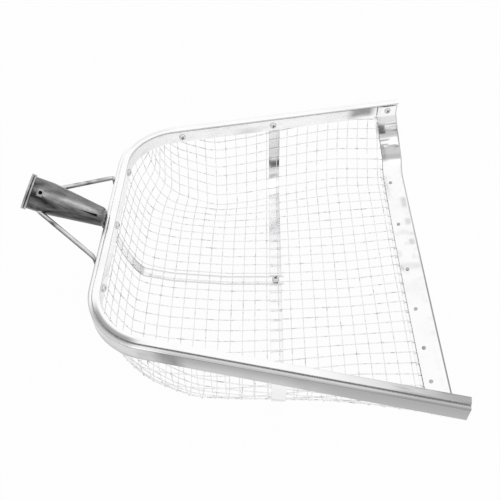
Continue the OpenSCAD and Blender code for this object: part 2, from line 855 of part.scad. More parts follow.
in_place() frame_hoop();
in_place() clamp_strip();
in_place() mesh_basket();
in_place() cross_strap();
in_place() long_strap();
in_place() strap_screw();
in_place() strap_nut();
in_place() left_arm_screws();
in_place() right_arm_screws();
in_place() back_screws();
in_place() lip_strip();
in_place() lip_backing_strip();
in_place() lip_rivets();
in_place() pole_socket();
in_place() socket_weld();
in_place() left_brace();
in_place() right_brace();
in_place() left_brace_welds();
in_place() right_brace_welds();
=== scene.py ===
"""Leaf skimmer net: rail, wire basket, strips, fasteners, socket, finishes and studio."""

import json
import logging
import math
from collections.abc import Callable
from dataclasses import dataclass, field
from enum import Enum
from functools import cached_property
from typing import TypeVar

import bmesh
import bpy
from mathutils import Matrix, Vector, noise
from mathutils.bvhtree import BVHTree


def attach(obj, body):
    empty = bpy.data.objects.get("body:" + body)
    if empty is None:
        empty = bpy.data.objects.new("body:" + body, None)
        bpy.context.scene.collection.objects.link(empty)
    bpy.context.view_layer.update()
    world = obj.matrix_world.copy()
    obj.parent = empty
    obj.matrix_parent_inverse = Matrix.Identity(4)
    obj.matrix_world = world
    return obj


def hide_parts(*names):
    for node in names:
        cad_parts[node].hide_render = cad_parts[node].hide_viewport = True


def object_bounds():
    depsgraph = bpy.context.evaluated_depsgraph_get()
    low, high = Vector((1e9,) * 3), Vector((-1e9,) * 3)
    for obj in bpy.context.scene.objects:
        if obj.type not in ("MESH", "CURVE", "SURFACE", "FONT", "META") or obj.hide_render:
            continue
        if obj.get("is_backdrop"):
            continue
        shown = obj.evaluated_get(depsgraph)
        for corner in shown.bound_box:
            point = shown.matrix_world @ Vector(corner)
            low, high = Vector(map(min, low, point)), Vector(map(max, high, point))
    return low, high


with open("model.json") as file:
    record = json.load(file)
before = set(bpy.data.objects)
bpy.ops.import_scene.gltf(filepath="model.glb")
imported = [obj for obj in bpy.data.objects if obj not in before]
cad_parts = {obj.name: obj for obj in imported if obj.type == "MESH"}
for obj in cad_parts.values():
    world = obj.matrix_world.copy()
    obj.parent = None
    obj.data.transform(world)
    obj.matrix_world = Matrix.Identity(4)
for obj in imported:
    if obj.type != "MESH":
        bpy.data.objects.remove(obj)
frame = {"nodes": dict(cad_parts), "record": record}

LOG = logging.getLogger("skimmer")
MM = 0.001
BODY = "root"
MERGE_GAP = 0.0005

Table = tuple[tuple[float, float], ...]
Ring = list[Vector]
Crossing = tuple[int, int]
Blend = TypeVar("Blend", float, Vector)


class Side(Enum):
    """The two sides of the net, seen from the pole."""

    LEFT = 1
    RIGHT = -1

    @property
    def word(self) -> str:
        """The side's name, as the names of pieces and nodes have it."""
        return self.name.lower()

    @property
    def mirror(self) -> Matrix:
        """Moves what is built on the left to this side."""
        return Matrix.Scale(self.value, 4, (0.0, 1.0, 0.0))


class RailSlot(Enum):
    """The rail's three finishes, in the order of its material slots."""

    TOP = 0
    FACE = 1
    GROOVE = 2


# ----------------------------------------------------------- net coordinates


def lookup(x: float, table: Table) -> float:
    """Reads a table of (place, value) pairs, straight between its rows.

    Args:
        x: The place to read at.
        table: The pairs, in rising order of place.

    Returns:
        The value there; beyond either end, that end's value.
    """
    if x <= table[0][0]:
        return table[0][1]
    for (x0, v0), (x1, v1) in zip(table, table[1:]):
        if x <= x1:
            return v0 + (v1 - v0) * (x - x0) / (x1 - x0)
    return table[-1][1]


def mix(a: Blend, b: Blend, k: float) -> Blend:
    """The value or point k of the way from a to b."""
    return a + (b - a) * k


def ramp(low: float, high: float, value: float) -> float:
    """Smooth step from 0 at low to 1 at high."""
    k = clamp((value - low) / (high - low))
    return k * k * (3.0 - 2.0 * k)


def window(start: float, rise: float, fall: float, end: float, value: float) -> float:
    """Smooth hump that rises from start to rise and falls from fall to end."""
    return ramp(start, rise, value) * (1.0 - ramp(fall, end, value))


def clamp(value: float) -> float:
    """The value, kept between 0 and 1."""
    return min(1.0, max(0.0, value))


def cloud(*place: float) -> float:
    """Smooth noise at a place, within -1 and 1."""
    return noise.noise(Vector(place))


def half_stations(back: int, corner: int, arm: int, last: float) -> list[float]:
    """Plan positions from the middle of the back bar to a place on the arm.

    Args:
        back: Steps along half of the back bar.
        corner: Steps round the corner.
        arm: Steps along the arm.
        last: Plan position of the last one.

    Returns:
        The positions, in rising order.
    """
    return (
        [i / back for i in range(back)]
        + [1 + i / corner for i in range(corner)]
        + [mix(2.0, last, i / arm) for i in range(arm + 1)]
    )


@dataclass(frozen=True)
class Band:
    """A painted mark: where along a line it starts, is full, fades and ends, and how dark it is."""

    start: float
    rise: float
    fall: float
    end: float
    dark: float = 1.0

    def at(self, value: float) -> float:
        """The mark's darkness at a value of its line's coordinate."""
        return self.dark * window(self.start, self.rise, self.fall, self.end, value)


@dataclass(frozen=True)
class NetShape:
    """Plan of the frame and surface of the basket, in net millimetres.

    X = 0 is the back face of the frame, Y = 0 the middle plane and Z = 0 the frame's top.
    """

    half_width: float = 142.0
    splay: float = math.radians(11.7)
    length: float = 320.0
    corner_radius: float = 67.0
    mesh_inset: float = 8.3
    mesh_half: float = 0.9
    mesh_top: float = -4.0
    mesh_front: float = 316.0
    curve_top: float = -18.0
    floor_power: float = 2.2
    strip_thick: float = 1.0
    lean_height: float = -66.0
    lean_rise: float = 51.0
    socket_tilt: float = math.radians(28.0)
    socket_length: float = 77.5
    socket_end: tuple[float, float, float] = (-0.2, 0.0, 1.4)
    back_steps: int = 10
    corner_steps: int = 16
    arm_steps: int = 28
    wall_steps: int = 22
    floor_steps: int = 20
    search_rounds: int = 14
    mid_depth: Table = (
        (30, 81), (60, 89.5), (120, 95.5), (173, 95), (250, 90), (310, 79), (335, 77)
    )
    side_depth: Table = (
        (30, 84), (60, 99), (105, 109.6), (145, 104), (200, 89), (250, 76), (335, 76)
    )
    foot_reach: Table = ((33, 24), (60, 20), (90, 17), (145, 28), (250, 43), (310, 52))
    foot_square: Table = ((33, 0.35), (60, 0.5), (250, 0.55), (335, 0.42))
    wall_bulge: Table = ((30, 0), (90, 10), (145, 7), (200, 2), (225, 0))

    @cached_property
    def mouth(self) -> Vector:
        """Centre of the socket's mouth, which is the row's origin."""
        run = Vector((-math.cos(self.socket_tilt), 0.0, math.sin(self.socket_tilt)))
        return Vector(self.socket_end) + run * self.socket_length

    @cached_property
    def to_row(self) -> Matrix:
        """Turns net millimetres into row metres."""
        return Matrix.Scale(MM, 4) @ Matrix.Translation(-self.mouth)

    @cached_property
    def corner_y(self) -> float:
        """How far the centre of each corner's arc is from the middle plane."""
        radius, splay = self.corner_radius, self.splay
        return self.half_width + radius * math.tan(splay) - radius / math.cos(splay)

    @cached_property
    def arm_dir(self) -> Vector:
        """Direction of the left arm, from the corner to the mouth."""
        return Vector((math.cos(self.splay), math.sin(self.splay)))

    @cached_property
    def arm_normal(self) -> Vector:
        """Direction out of the left arm's outer face."""
        return Vector((-math.sin(self.splay), math.cos(self.splay)))

    @cached_property
    def arm_length(self) -> float:
        """Length of each straight arm."""
        start = self.corner_radius * (1.0 - math.sin(self.splay))
        return (self.length - start) / math.cos(self.splay)

    @cached_property
    def back_inset(self) -> float:
        """Where the floor starts behind, from the back face."""
        return self.mesh_inset + lookup(0.0, self.foot_reach)

    def arm_point(self, along: float, inset: float) -> Vector:
        """Point of the left arm's plan, inset from its outer face."""
        centre = Vector((self.corner_radius, self.corner_y))
        return centre + (self.corner_radius - inset) * self.arm_normal + along * self.arm_dir

    def plan(self, u: float, inset: float) -> Vector:
        """Point of the left half of the plan.

        Args:
            u: 0 to 1 along the back bar, 1 to 2 round the corner, 2 to 3 along the arm.
            inset: Distance inside the outer face.

        Returns:
            The point, in plan.
        """
        if u <= 1.0:
            return Vector((inset, self.corner_y * u))
        if u > 2.0:
            return self.arm_point((u - 2.0) * self.arm_length, inset)
        angle = math.pi - (u - 1.0) * (math.pi / 2 - self.splay)
        reach = (self.corner_radius - inset) * Vector((math.cos(angle), math.sin(angle)))
        return Vector((self.corner_radius, self.corner_y)) + reach

    def arm_u(self, x: float, inset: float) -> float:
        """Plan position at which a point inset from the left arm's face has this x."""
        start = self.arm_point(0.0, inset).x
        return 2.0 + (x - start) / math.cos(self.splay) / self.arm_length

    def reach(self, u: float) -> float:
        """How far in from the mesh's top edge the wall's foot lies."""
        return lookup(0.0 if u <= 1.0 else self.plan(u, self.back_inset).x, self.foot_reach)

    def foot(self, u: float) -> Vector:
        """Where the wall meets the floor, in plan."""
        return self.plan(u, self.mesh_inset + self.reach(u))

    def floor_point(self, u: float, v: float) -> Vector:
        """Point of the floor, v of the way from the middle plane to the wall's foot at u."""
        foot = self.foot(u)
        return Vector((foot.x, foot.y * v, self.floor_z(foot.x, v)))

    def floor_z(self, x: float, v: float) -> float:
        """Height of the floor at x, for v from 0 at the middle to 1 at the wall's foot."""
        share = abs(v) ** self.floor_power
        return mix(-lookup(x, self.mid_depth), -lookup(x, self.side_depth), share)

    def wall_profile(self, u: float, w: float) -> Vector:
        """Inset from the mesh's top edge and height of the wall.

        Args:
            u: Plan position.
            w: -1 to 0 down the clamped edge, 0 to 1 down the wall and onto the floor.

        Returns:
            Inset and height.
        """
        if w <= 0.0:
            return Vector((0.0, mix(self.curve_top, self.mesh_top, -w)))
        x = self.foot(u).x
        reach = self.reach(u)
        low = self.floor_z(self.back_inset, u) if u <= 1.0 else -lookup(x, self.side_depth)
        square = lookup(x, self.foot_square)
        bulge = lookup(x, self.wall_bulge) * clamp((u - 1.0) * 1.5)
        knots = (
            Vector((0.0, self.curve_top)),
            Vector((-bulge, mix(self.curve_top, low, square))),
            Vector((reach * (1.0 - square), low)),
            Vector((reach, low)),
        )
        shares = ((1 - w) ** 3, 3 * w * (1 - w) ** 2, 3 * w * w * (1 - w), w**3)
        return sum((knot * share for knot, share in zip(knots, shares)), Vector((0.0, 0.0)))

    def wall(self, u: float, w: float) -> Vector:
        """Point of the left wall.

        Args:
            u: Plan position.
            w: Profile position, as wall_profile() has it.

        Returns:
            The point.
        """
        profile = self.wall_profile(u, w)
        spot = self.plan(u, self.mesh_inset + profile.x)
        return Vector((spot.x, spot.y, profile.y))

    def wall_at_x(self, x: float, w: float) -> Vector:
        """Point of the left wall whose x is given."""
        first = self.arm_u(x, self.mesh_inset)
        return self.wall(self.arm_u(x, self.mesh_inset + self.wall_profile(first, w).x), w)

    def wall_share(self, x: float, z: float) -> float:
        """Finds how far down its profile the left wall has a height.

        Args:
            x: Where on the arm.
            z: The height.

        Returns:
            The profile position, 0 to 1.
        """
        low, high = 0.0, 1.0
        for _ in range(self.search_rounds):
            middle = (low + high) / 2
            if self.wall_at_x(x, middle).z > z:
                low = middle
            else:
                high = middle
        return low

    def across(self, x: float, top: float, lean: float, steps: int = 32) -> list[Vector]:
        """Line over the basket from the left wall's top to the right wall's.

        Args:
            x: Where the line runs on the floor.
            top: Height at which it stops.
            lean: How far its upper ends lie nearer the pole.
            steps: Pieces for each wall and each half of the floor.

        Returns:
            The line's points.
        """
        if top > self.curve_top:
            start = -(top - self.curve_top) / (self.mesh_top - self.curve_top)
        else:
            start = self.wall_share(x, top)
        left: list[Vector] = []
        for i in range(steps + 1):
            w = mix(start, 1.0, i / steps)
            rise = (self.wall_at_x(x, w).z - self.lean_height) / self.lean_rise
            left.append(self.wall_at_x(x - lean * clamp(rise), w))
        foot = self.wall_at_x(x, 1.0)
        for i in range(1, steps + 1):
            v = 1.0 - i / steps
            left.append(Vector((foot.x, foot.y * v, self.floor_z(foot.x, v))))
        return left + [Vector((p.x, -p.y, p.z)) for p in reversed(left[:-1])]

    def surface(self) -> BVHTree:
        """Makes the basket's middle surface.

        Returns:
            A tree for finding its nearest points.
        """
        last = self.arm_u(self.mesh_front, self.back_inset)
        half = half_stations(self.back_steps, self.corner_steps, self.arm_steps, last)
        around = [(-1, u) for u in reversed(half[1:])] + [(1, u) for u in half]
        downs = [-1.0, -0.5] + [i / self.wall_steps for i in range(self.wall_steps + 1)]
        shares = [k / self.floor_steps for k in range(-self.floor_steps, self.floor_steps + 1)]
        walls = []
        for sign, u in around:
            column = [self.wall(u, w) for w in downs]
            walls.append([Vector((p.x, sign * p.y, p.z)) for p in column])
        floor = [[self.floor_point(u, v) for v in shares] for u in half[self.back_steps :]]
        points: list[Vector] = []
        faces: list[tuple[int, int, int, int]] = []
        for rows in (walls, floor):
            wide = len(rows[0])
            for i, row in enumerate(rows):
                p = len(points)
                points.extend(row)
                if i:
                    faces += [(k - wide, k - wide + 1, k + 1, k) for k in range(p, p + wide - 1)]
        return BVHTree.FromPolygons(points, faces)


NET = NetShape()
FULL_WIDTH = Band(-2.0, -1.0, 98.0, 99.0)
WHITE = (1.0, 1.0, 1.0, 1.0)


# --------------------------------------------------------------- mesh helpers


def loft(
    rings: list[Ring],
    slots: list[int] | None = None,
    tones: list[list[float]] | None = None,
) -> bmesh.types.BMesh:
    """Extrudes a closed section from ring to ring and caps both ends.

    Args:
        rings: Rings of points with the same count.
        slots: Material slot of the side that each edge of the section draws.
        tones: Darkness of each point of each ring, kept as the attribute "tone".

    Returns:
        The closed solid, in net millimetres.
    """
    bm = bmesh.new()
    layer = tone_layer(bm)
    count = len(rings[0])
    ring = [bm.verts.new(point) for point in rings[0]]
    edges = [bm.edges.new((ring[k], ring[(k + 1) % count])) for k in range(count)]
    bmesh.ops.contextual_create(bm, geom=edges)
    if tones:
        for vert, tone in zip(ring, tones[0]):
            vert[layer] = tone
    for i, points in enumerate(rings[1:], 1):
        grown = bmesh.ops.extrude_edge_only(bm, edges=edges)
        fresh = {item for item in grown["geom"] if isinstance(item, bmesh.types.BMVert)}
        after = []
        for vert in ring:
            others = (edge.other_vert(vert) for edge in vert.link_edges)
            after.append(next(other for other in others if other in fresh))
        for k, (vert, point) in enumerate(zip(after, points)):
            vert.co = point
            if tones:
                vert[layer] = tones[i][k]
        for k in range(count):
            n = (k + 1) % count
            face = bm.faces.get((ring[k], ring[n], after[n], after[k]))
            if slots and face:
                face.material_index = slots[k]
        edges = [bm.edges.get((after[k], after[(k + 1) % count])) for k in range(count)]
        ring = after
    bmesh.ops.contextual_create(bm, geom=edges)
    bmesh.ops.recalc_face_normals(bm, faces=bm.faces)
    return bm


def lathe(profile: list[tuple[float, float]], place: Matrix, steps: int) -> bmesh.types.BMesh:
    """Spins a profile of (radius, height) about its own axis.

    Args:
        profile: The profile's points, in order; those on the axis have radius 0.
        place: Where the piece goes, with its axis along Z.
        steps: Number of sides.

    Returns:
        The closed solid.
    """
    bm = bmesh.new()
    verts = [bm.verts.new((radius, 0.0, height)) for radius, height in profile]
    edges = [bm.edges.new(pair) for pair in zip(verts, verts[1:])]
    if profile[0][0] > 0.0 and profile[-1][0] > 0.0:
        edges.append(bm.edges.new((verts[-1], verts[0])))
    bmesh.ops.spin(
        bm,
        geom=verts + edges,
        cent=(0.0, 0.0, 0.0),
        axis=(0.0, 0.0, 1.0),
        angle=math.tau,
        steps=steps,
        use_merge=True,
    )
    bmesh.ops.remove_doubles(bm, verts=bm.verts, dist=MERGE_GAP)
    bmesh.ops.transform(bm, matrix=place, verts=bm.verts)
    bmesh.ops.recalc_face_normals(bm, faces=bm.faces)
    return bm


def join(parts: list[bmesh.types.BMesh]) -> bmesh.types.BMesh:
    """Puts several solids into one, as separate shells.

    Args:
        parts: The solids, which are used up.

    Returns:
        The whole.
    """
    whole = bmesh.new()
    tone_layer(whole)
    for part in parts:
        mesh = bpy.data.meshes.new("part")
        part.to_mesh(mesh)
        part.free()
        whole.from_mesh(mesh)
        bpy.data.meshes.remove(mesh)
    return whole


def carve(
    body: bmesh.types.BMesh, tool: bmesh.types.BMesh, join_on: bool = False
) -> bmesh.types.BMesh:
    """Cuts a tool out of a solid, or joins it on, with the Boolean modifier.

    Args:
        body: The solid, which is used up.
        tool: The other solid, which is used up too.
        join_on: True to join the two.

    Returns:
        The result.
    """
    pieces = []
    for part in (body, tool):
        mesh = bpy.data.meshes.new("carve")
        part.to_mesh(mesh)
        part.free()
        obj = bpy.data.objects.new("carve", mesh)
        bpy.context.scene.collection.objects.link(obj)
        pieces.append(obj)
    modifier = pieces[0].modifiers.new("cut", "BOOLEAN")
    modifier.operation = "UNION" if join_on else "DIFFERENCE"
    modifier.solver = "EXACT"
    modifier.object = pieces[1]
    graph = bpy.context.evaluated_depsgraph_get()
    done = bpy.data.meshes.new_from_object(pieces[0].evaluated_get(graph))
    result = bmesh.new()
    result.from_mesh(done)
    bpy.data.meshes.remove(done)
    for obj in pieces:
        mesh = obj.data
        bpy.data.objects.remove(obj)
        bpy.data.meshes.remove(mesh)
    return result


def tone_layer(bm: bmesh.types.BMesh) -> bmesh.types.BMLayerItem:
    """The layer that holds the darkness of each point."""
    layers = bm.verts.layers.float
    return layers.get("tone") or layers.new("tone")


def oval(centre: Vector, across: Vector, down: Vector, sides: int) -> Ring:
    """Round or oval section.

    Args:
        centre: Its middle.
        across: Half-axis that its first point is on.
        down: The other half-axis.
        sides: The number of points.

    Returns:
        The points.
    """
    turns = [math.tau * k / sides for k in range(sides)]
    return [centre + across * math.cos(turn) + down * math.sin(turn) for turn in turns]


def ripple(point: Vector, scale: float, depth: float) -> float:
    """Smooth unevenness of hand-worked metal at a point."""
    return noise.noise(point / scale) * depth


def add_piece(
    name: str, bm: bmesh.types.BMesh, finishes: list["Finish"], node: str, sharp: float = 32.0
) -> None:
    """Makes a piece of the net from a solid in net millimetres and reports it.

    Args:
        name: The piece's name.
        bm: The solid, which is used up.
        finishes: One finish for each material slot of the mesh, that of the record's slot first.
        node: The node that it stands for.
        sharp: Angle in degrees above which an edge stays sharp.
    """
    bmesh.ops.transform(bm, matrix=NET.to_row, verts=bm.verts)
    mesh = bpy.data.meshes.new(name)
    bm.to_mesh(mesh)
    bm.free()
    mesh.polygons.foreach_set("use_smooth", [True] * len(mesh.polygons))
    mesh.set_sharp_from_angle(angle=math.radians(sharp))
    for finish in finishes:
        mesh.materials.append(finish.material())
    obj = bpy.data.objects.new(name, mesh)
    bpy.context.scene.collection.objects.link(obj)
    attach(obj, BODY)
    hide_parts(node)
    LOG.info("%s: %d faces, stands for %s", name, len(mesh.polygons), node)


# ------------------------------------------------------------------ materials


def add_node(
    tree: bpy.types.NodeTree,
    kind: str,
    inputs: dict[str | int, float | tuple[float, ...]] | None = None,
    **settings: object,
) -> bpy.types.Node:
    """Adds a shader node.

    Args:
        tree: The tree that it goes into.
        kind: Its type, without the first word.
        inputs: Values of its inputs, by name or place.
        settings: Values of its other properties.

    Returns:
        The node.
    """
    made = tree.nodes.new(f"ShaderNode{kind}")
    for name, value in settings.items():
        setattr(made, name, value)
    for key, value in (inputs or {}).items():
        made.inputs[key].default_value = value
    return made


def connect(
    tree: bpy.types.NodeTree, *links: tuple[bpy.types.Node, str | int, bpy.types.Node, str | int]
) -> None:
    """Links nodes.

    Args:
        tree: Their tree.
        links: For each link a node, its output, another node and its input.
    """
    for source, output, target, entry in links:
        tree.links.new(source.outputs[output], target.inputs[entry])


class NodeGroups:
    """Shader node groups that several finishes share, each built once."""

    _built: dict[str, bpy.types.NodeTree] = {}

    @classmethod
    def _new(cls, name: str, inputs: dict[str, float], output: str) -> bpy.types.NodeTree:
        """Starts a group with a vector input, float inputs and one float output.

        Args:
            name: The group's name.
            inputs: Each float input and its default.
            output: The output's name.

        Returns:
            The group, with its input and output nodes in place.
        """
        tree = bpy.data.node_groups.new(name, "ShaderNodeTree")
        tree.interface.new_socket("Vector", in_out="INPUT", socket_type="NodeSocketVector")
        number = "NodeSocketFloat"
        for label, value in inputs.items():
            socket = tree.interface.new_socket(label, in_out="INPUT", socket_type=number)
            socket.default_value = value
        tree.interface.new_socket(output, in_out="OUTPUT", socket_type=number)
        tree.nodes.new("NodeGroupInput")
        tree.nodes.new("NodeGroupOutput")
        cls._built[name] = tree
        return tree

    @classmethod
    def grain(cls) -> bpy.types.NodeTree:
        """Drawn or rolled grain: fine streaks along X of the given vector.

        Returns:
            The group.
        """
        if "metal_grain" in cls._built:
            return cls._built["metal_grain"]
        tree = cls._new("metal_grain", {"Scale": 900.0, "Stretch": 0.04}, "Grain")
        enter, leave = tree.nodes["Group Input"], tree.nodes["Group Output"]
        shape = add_node(tree, "CombineXYZ", {"Y": 1.0, "Z": 1.0})
        stretch = add_node(tree, "VectorMath", operation="MULTIPLY")
        streaks = add_node(tree, "TexNoise", {"Detail": 3.0})
        connect(
            tree,
            (enter, "Stretch", shape, "X"),
            (enter, "Vector", stretch, 0),
            (shape, "Vector", stretch, 1),
            (stretch, "Vector", streaks, "Vector"),
            (enter, "Scale", streaks, "Scale"),
            (streaks, "Fac", leave, "Grain"),
        )
        return tree

    @classmethod
    def stains(cls) -> bpy.types.NodeTree:
        """Soft stains: broad noise with its contrast raised, 0 to 1.

        Returns:
            The group.
        """
        if "metal_stains" in cls._built:
            return cls._built["metal_stains"]
        tree = cls._new("metal_stains", {"Scale": 30.0, "Low": 0.4, "High": 0.65}, "Mask")
        enter, leave = tree.nodes["Group Input"], tree.nodes["Group Output"]
        clouds = add_node(tree, "TexNoise", {"Detail": 5.0, "Roughness": 0.55})
        lift = add_node(tree, "MapRange", interpolation_type="SMOOTHSTEP")
        connect(
            tree,
            (enter, "Vector", clouds, "Vector"),
            (enter, "Scale", clouds, "Scale"),
            (clouds, "Fac", lift, "Value"),
            (enter, "Low", lift, "From Min"),
            (enter, "High", lift, "From Max"),
            (lift, "Result", leave, "Mask"),
        )
        return tree


@dataclass(frozen=True)
class Finish:
    """A metal finish with drawn grain, soft stains and tone-painted shade, reflections and marks.
    """

    name: str
    colour: tuple[float, float, float]
    stain: tuple[float, float, float]
    dark: tuple[float, float, float]
    roughness: float
    stain_rough: float
    grain_scale: float = 900.0
    grain_stretch: float = 0.04
    grain_depth: float = 0.12
    grain_turn: float = 0.0
    grain_tint: float = 0.25
    stain_scale: float = 30.0
    stain_low: float = 0.45
    stain_high: float = 0.75
    streak_low: float = 0.5
    streak_high: float = 0.72
    bump_distance: float = 0.0002

    def material(self) -> bpy.types.Material:
        """Builds the finish once.

        Returns:
            Its material.
        """
        name = f"{self.name}_finish"
        if name in bpy.data.materials:
            return bpy.data.materials[name]
        mat = bpy.data.materials.new(name)
        mat.use_nodes = True
        tree = mat.node_tree
        shader = tree.nodes["Principled BSDF"]
        shader.inputs["Metallic"].default_value = 1.0
        place = add_node(tree, "TexCoord")
        turn = add_node(tree, "Mapping", {"Rotation": (0.0, 0.0, self.grain_turn)})
        sizes = {"Scale": self.grain_scale, "Stretch": self.grain_stretch}
        grain = add_node(tree, "Group", sizes, node_tree=NodeGroups.grain())
        sizes = {"Scale": self.stain_scale, "Low": self.stain_low, "High": self.stain_high}
        stains = add_node(tree, "Group", sizes, node_tree=NodeGroups.stains())
        low, high = self.streak_low, self.streak_high
        reach = {"From Min": low, "From Max": high, "To Max": self.grain_tint}
        streaks = add_node(tree, "MapRange", reach)
        stained = add_node(tree, "Math", operation="MAXIMUM")
        colours = {"A": (*self.colour, 1.0), "B": (*self.stain, 1.0)}
        tint = add_node(tree, "Mix", colours, data_type="RGBA")
        # The tone attribute mixes in the dark colour: mostly painted shade and painted reflections,
        # partly real marks.
        tone = add_node(tree, "Attribute", attribute_name="tone")
        wear_and_shade = add_node(tree, "Mix", {"B": (*self.dark, 1.0)}, data_type="RGBA")
        ends = {"A": self.roughness, "B": self.stain_rough}
        rough = add_node(tree, "Mix", ends, data_type="FLOAT")
        depth = {"Strength": self.grain_depth, "Distance": self.bump_distance}
        bump = add_node(tree, "Bump", depth)
        connect(
            tree,
            (place, "Object", turn, "Vector"),
            (turn, "Vector", grain, "Vector"),
            (place, "Object", stains, "Vector"),
            (grain, "Grain", streaks, "Value"),
            (streaks, "Result", stained, 0),
            (stains, "Mask", stained, 1),
            (stained, "Value", tint, "Factor"),
            (stains, "Mask", rough, "Factor"),
            (tint, "Result", wear_and_shade, "A"),
            (tone, "Fac", wear_and_shade, "Factor"),
            (wear_and_shade, "Result", shader, "Base Color"),
            (rough, "Result", shader, "Roughness"),
            (grain, "Grain", bump, "Height"),
            (bump, "Normal", shader, "Normal"),
        )
        return mat


def grey(value: float, cool: float = 0.01) -> tuple[float, float, float]:
    """A neutral metal colour, slightly cool."""
    return (value, value, min(1.0, value * (1.0 + cool)))


class Finishes:
    """The finishes of this net, one or more for each material slot of the record."""

    frame = Finish("frame_aluminium", grey(0.99), grey(0.95), grey(0.34), 0.24, 0.34, stain_low=0.5)
    # The rail's outer face and channel: the top's aluminium darkened as painted shade, for the dark
    # floor it reflects.
    rail_face_shaded = Finish(
        "frame_face_shaded", grey(0.74), grey(0.62), grey(0.3), 0.3, 0.42,
        grain_scale=1400.0, grain_stretch=0.015, grain_depth=0.2, stain_scale=22.0,
    )
    groove = Finish("frame_groove", grey(0.98), grey(0.9), grey(0.2), 0.5, 0.6)
    strip = Finish(
        "strip_aluminium", grey(0.99), grey(0.95), grey(0.28), 0.22, 0.3, grain_tint=0.15
    )
    wire = Finish(
        "mesh_wire", grey(0.91), grey(0.5), grey(0.4), 0.3, 0.4,
        grain_scale=1500.0, grain_stretch=1.0, stain_scale=160.0, stain_low=0.5,
        stain_high=0.7,
    )
    strap = Finish("strap_steel", grey(0.99), grey(0.95), grey(0.14), 0.2, 0.28, grain_tint=0.15)
    lip = Finish(
        "lip_steel", grey(0.98), grey(0.93), grey(0.18), 0.2, 0.3,
        grain_turn=math.pi / 2, grain_depth=0.08,
    )
    screw = Finish("screw_steel", grey(0.72), grey(0.5), grey(0.08), 0.2, 0.32)
    rivet = Finish("rivet_steel", grey(0.5), grey(0.25), grey(0.1), 0.35, 0.5, stain_scale=260.0)
    socket = Finish(
        "socket_steel", grey(0.56), grey(0.36), grey(0.03), 0.28, 0.4,
        grain_scale=520.0, grain_stretch=0.03, grain_depth=0.3, grain_tint=0.75,
        stain_scale=45.0, stain_low=0.46, stain_high=0.7,
    )
    weld = Finish(
        "weld_metal", grey(0.6), grey(0.3), grey(0.12), 0.35, 0.5,
        grain_scale=600.0, grain_stretch=1.0, grain_depth=0.5, grain_tint=0.4,
        stain_scale=200.0,
    )
    brace = Finish("brace_steel", grey(0.82), grey(0.6), grey(0.07), 0.2, 0.3, stain_scale=60.0)


def dress_nodes() -> None:
    """Gives every CAD node the finish of its slot."""
    every = (item for item in vars(Finishes).values() if isinstance(item, Finish))
    finishes = {finish.name: finish for finish in every}
    slots = {row["node"]: row["material_slot"] for row in frame["record"]["subparts"]}
    for name, obj in frame["nodes"].items():
        obj.data.materials.clear()
        obj.data.materials.append(finishes[slots[name]].material())


# ---------------------------------------------------------------- frame rail


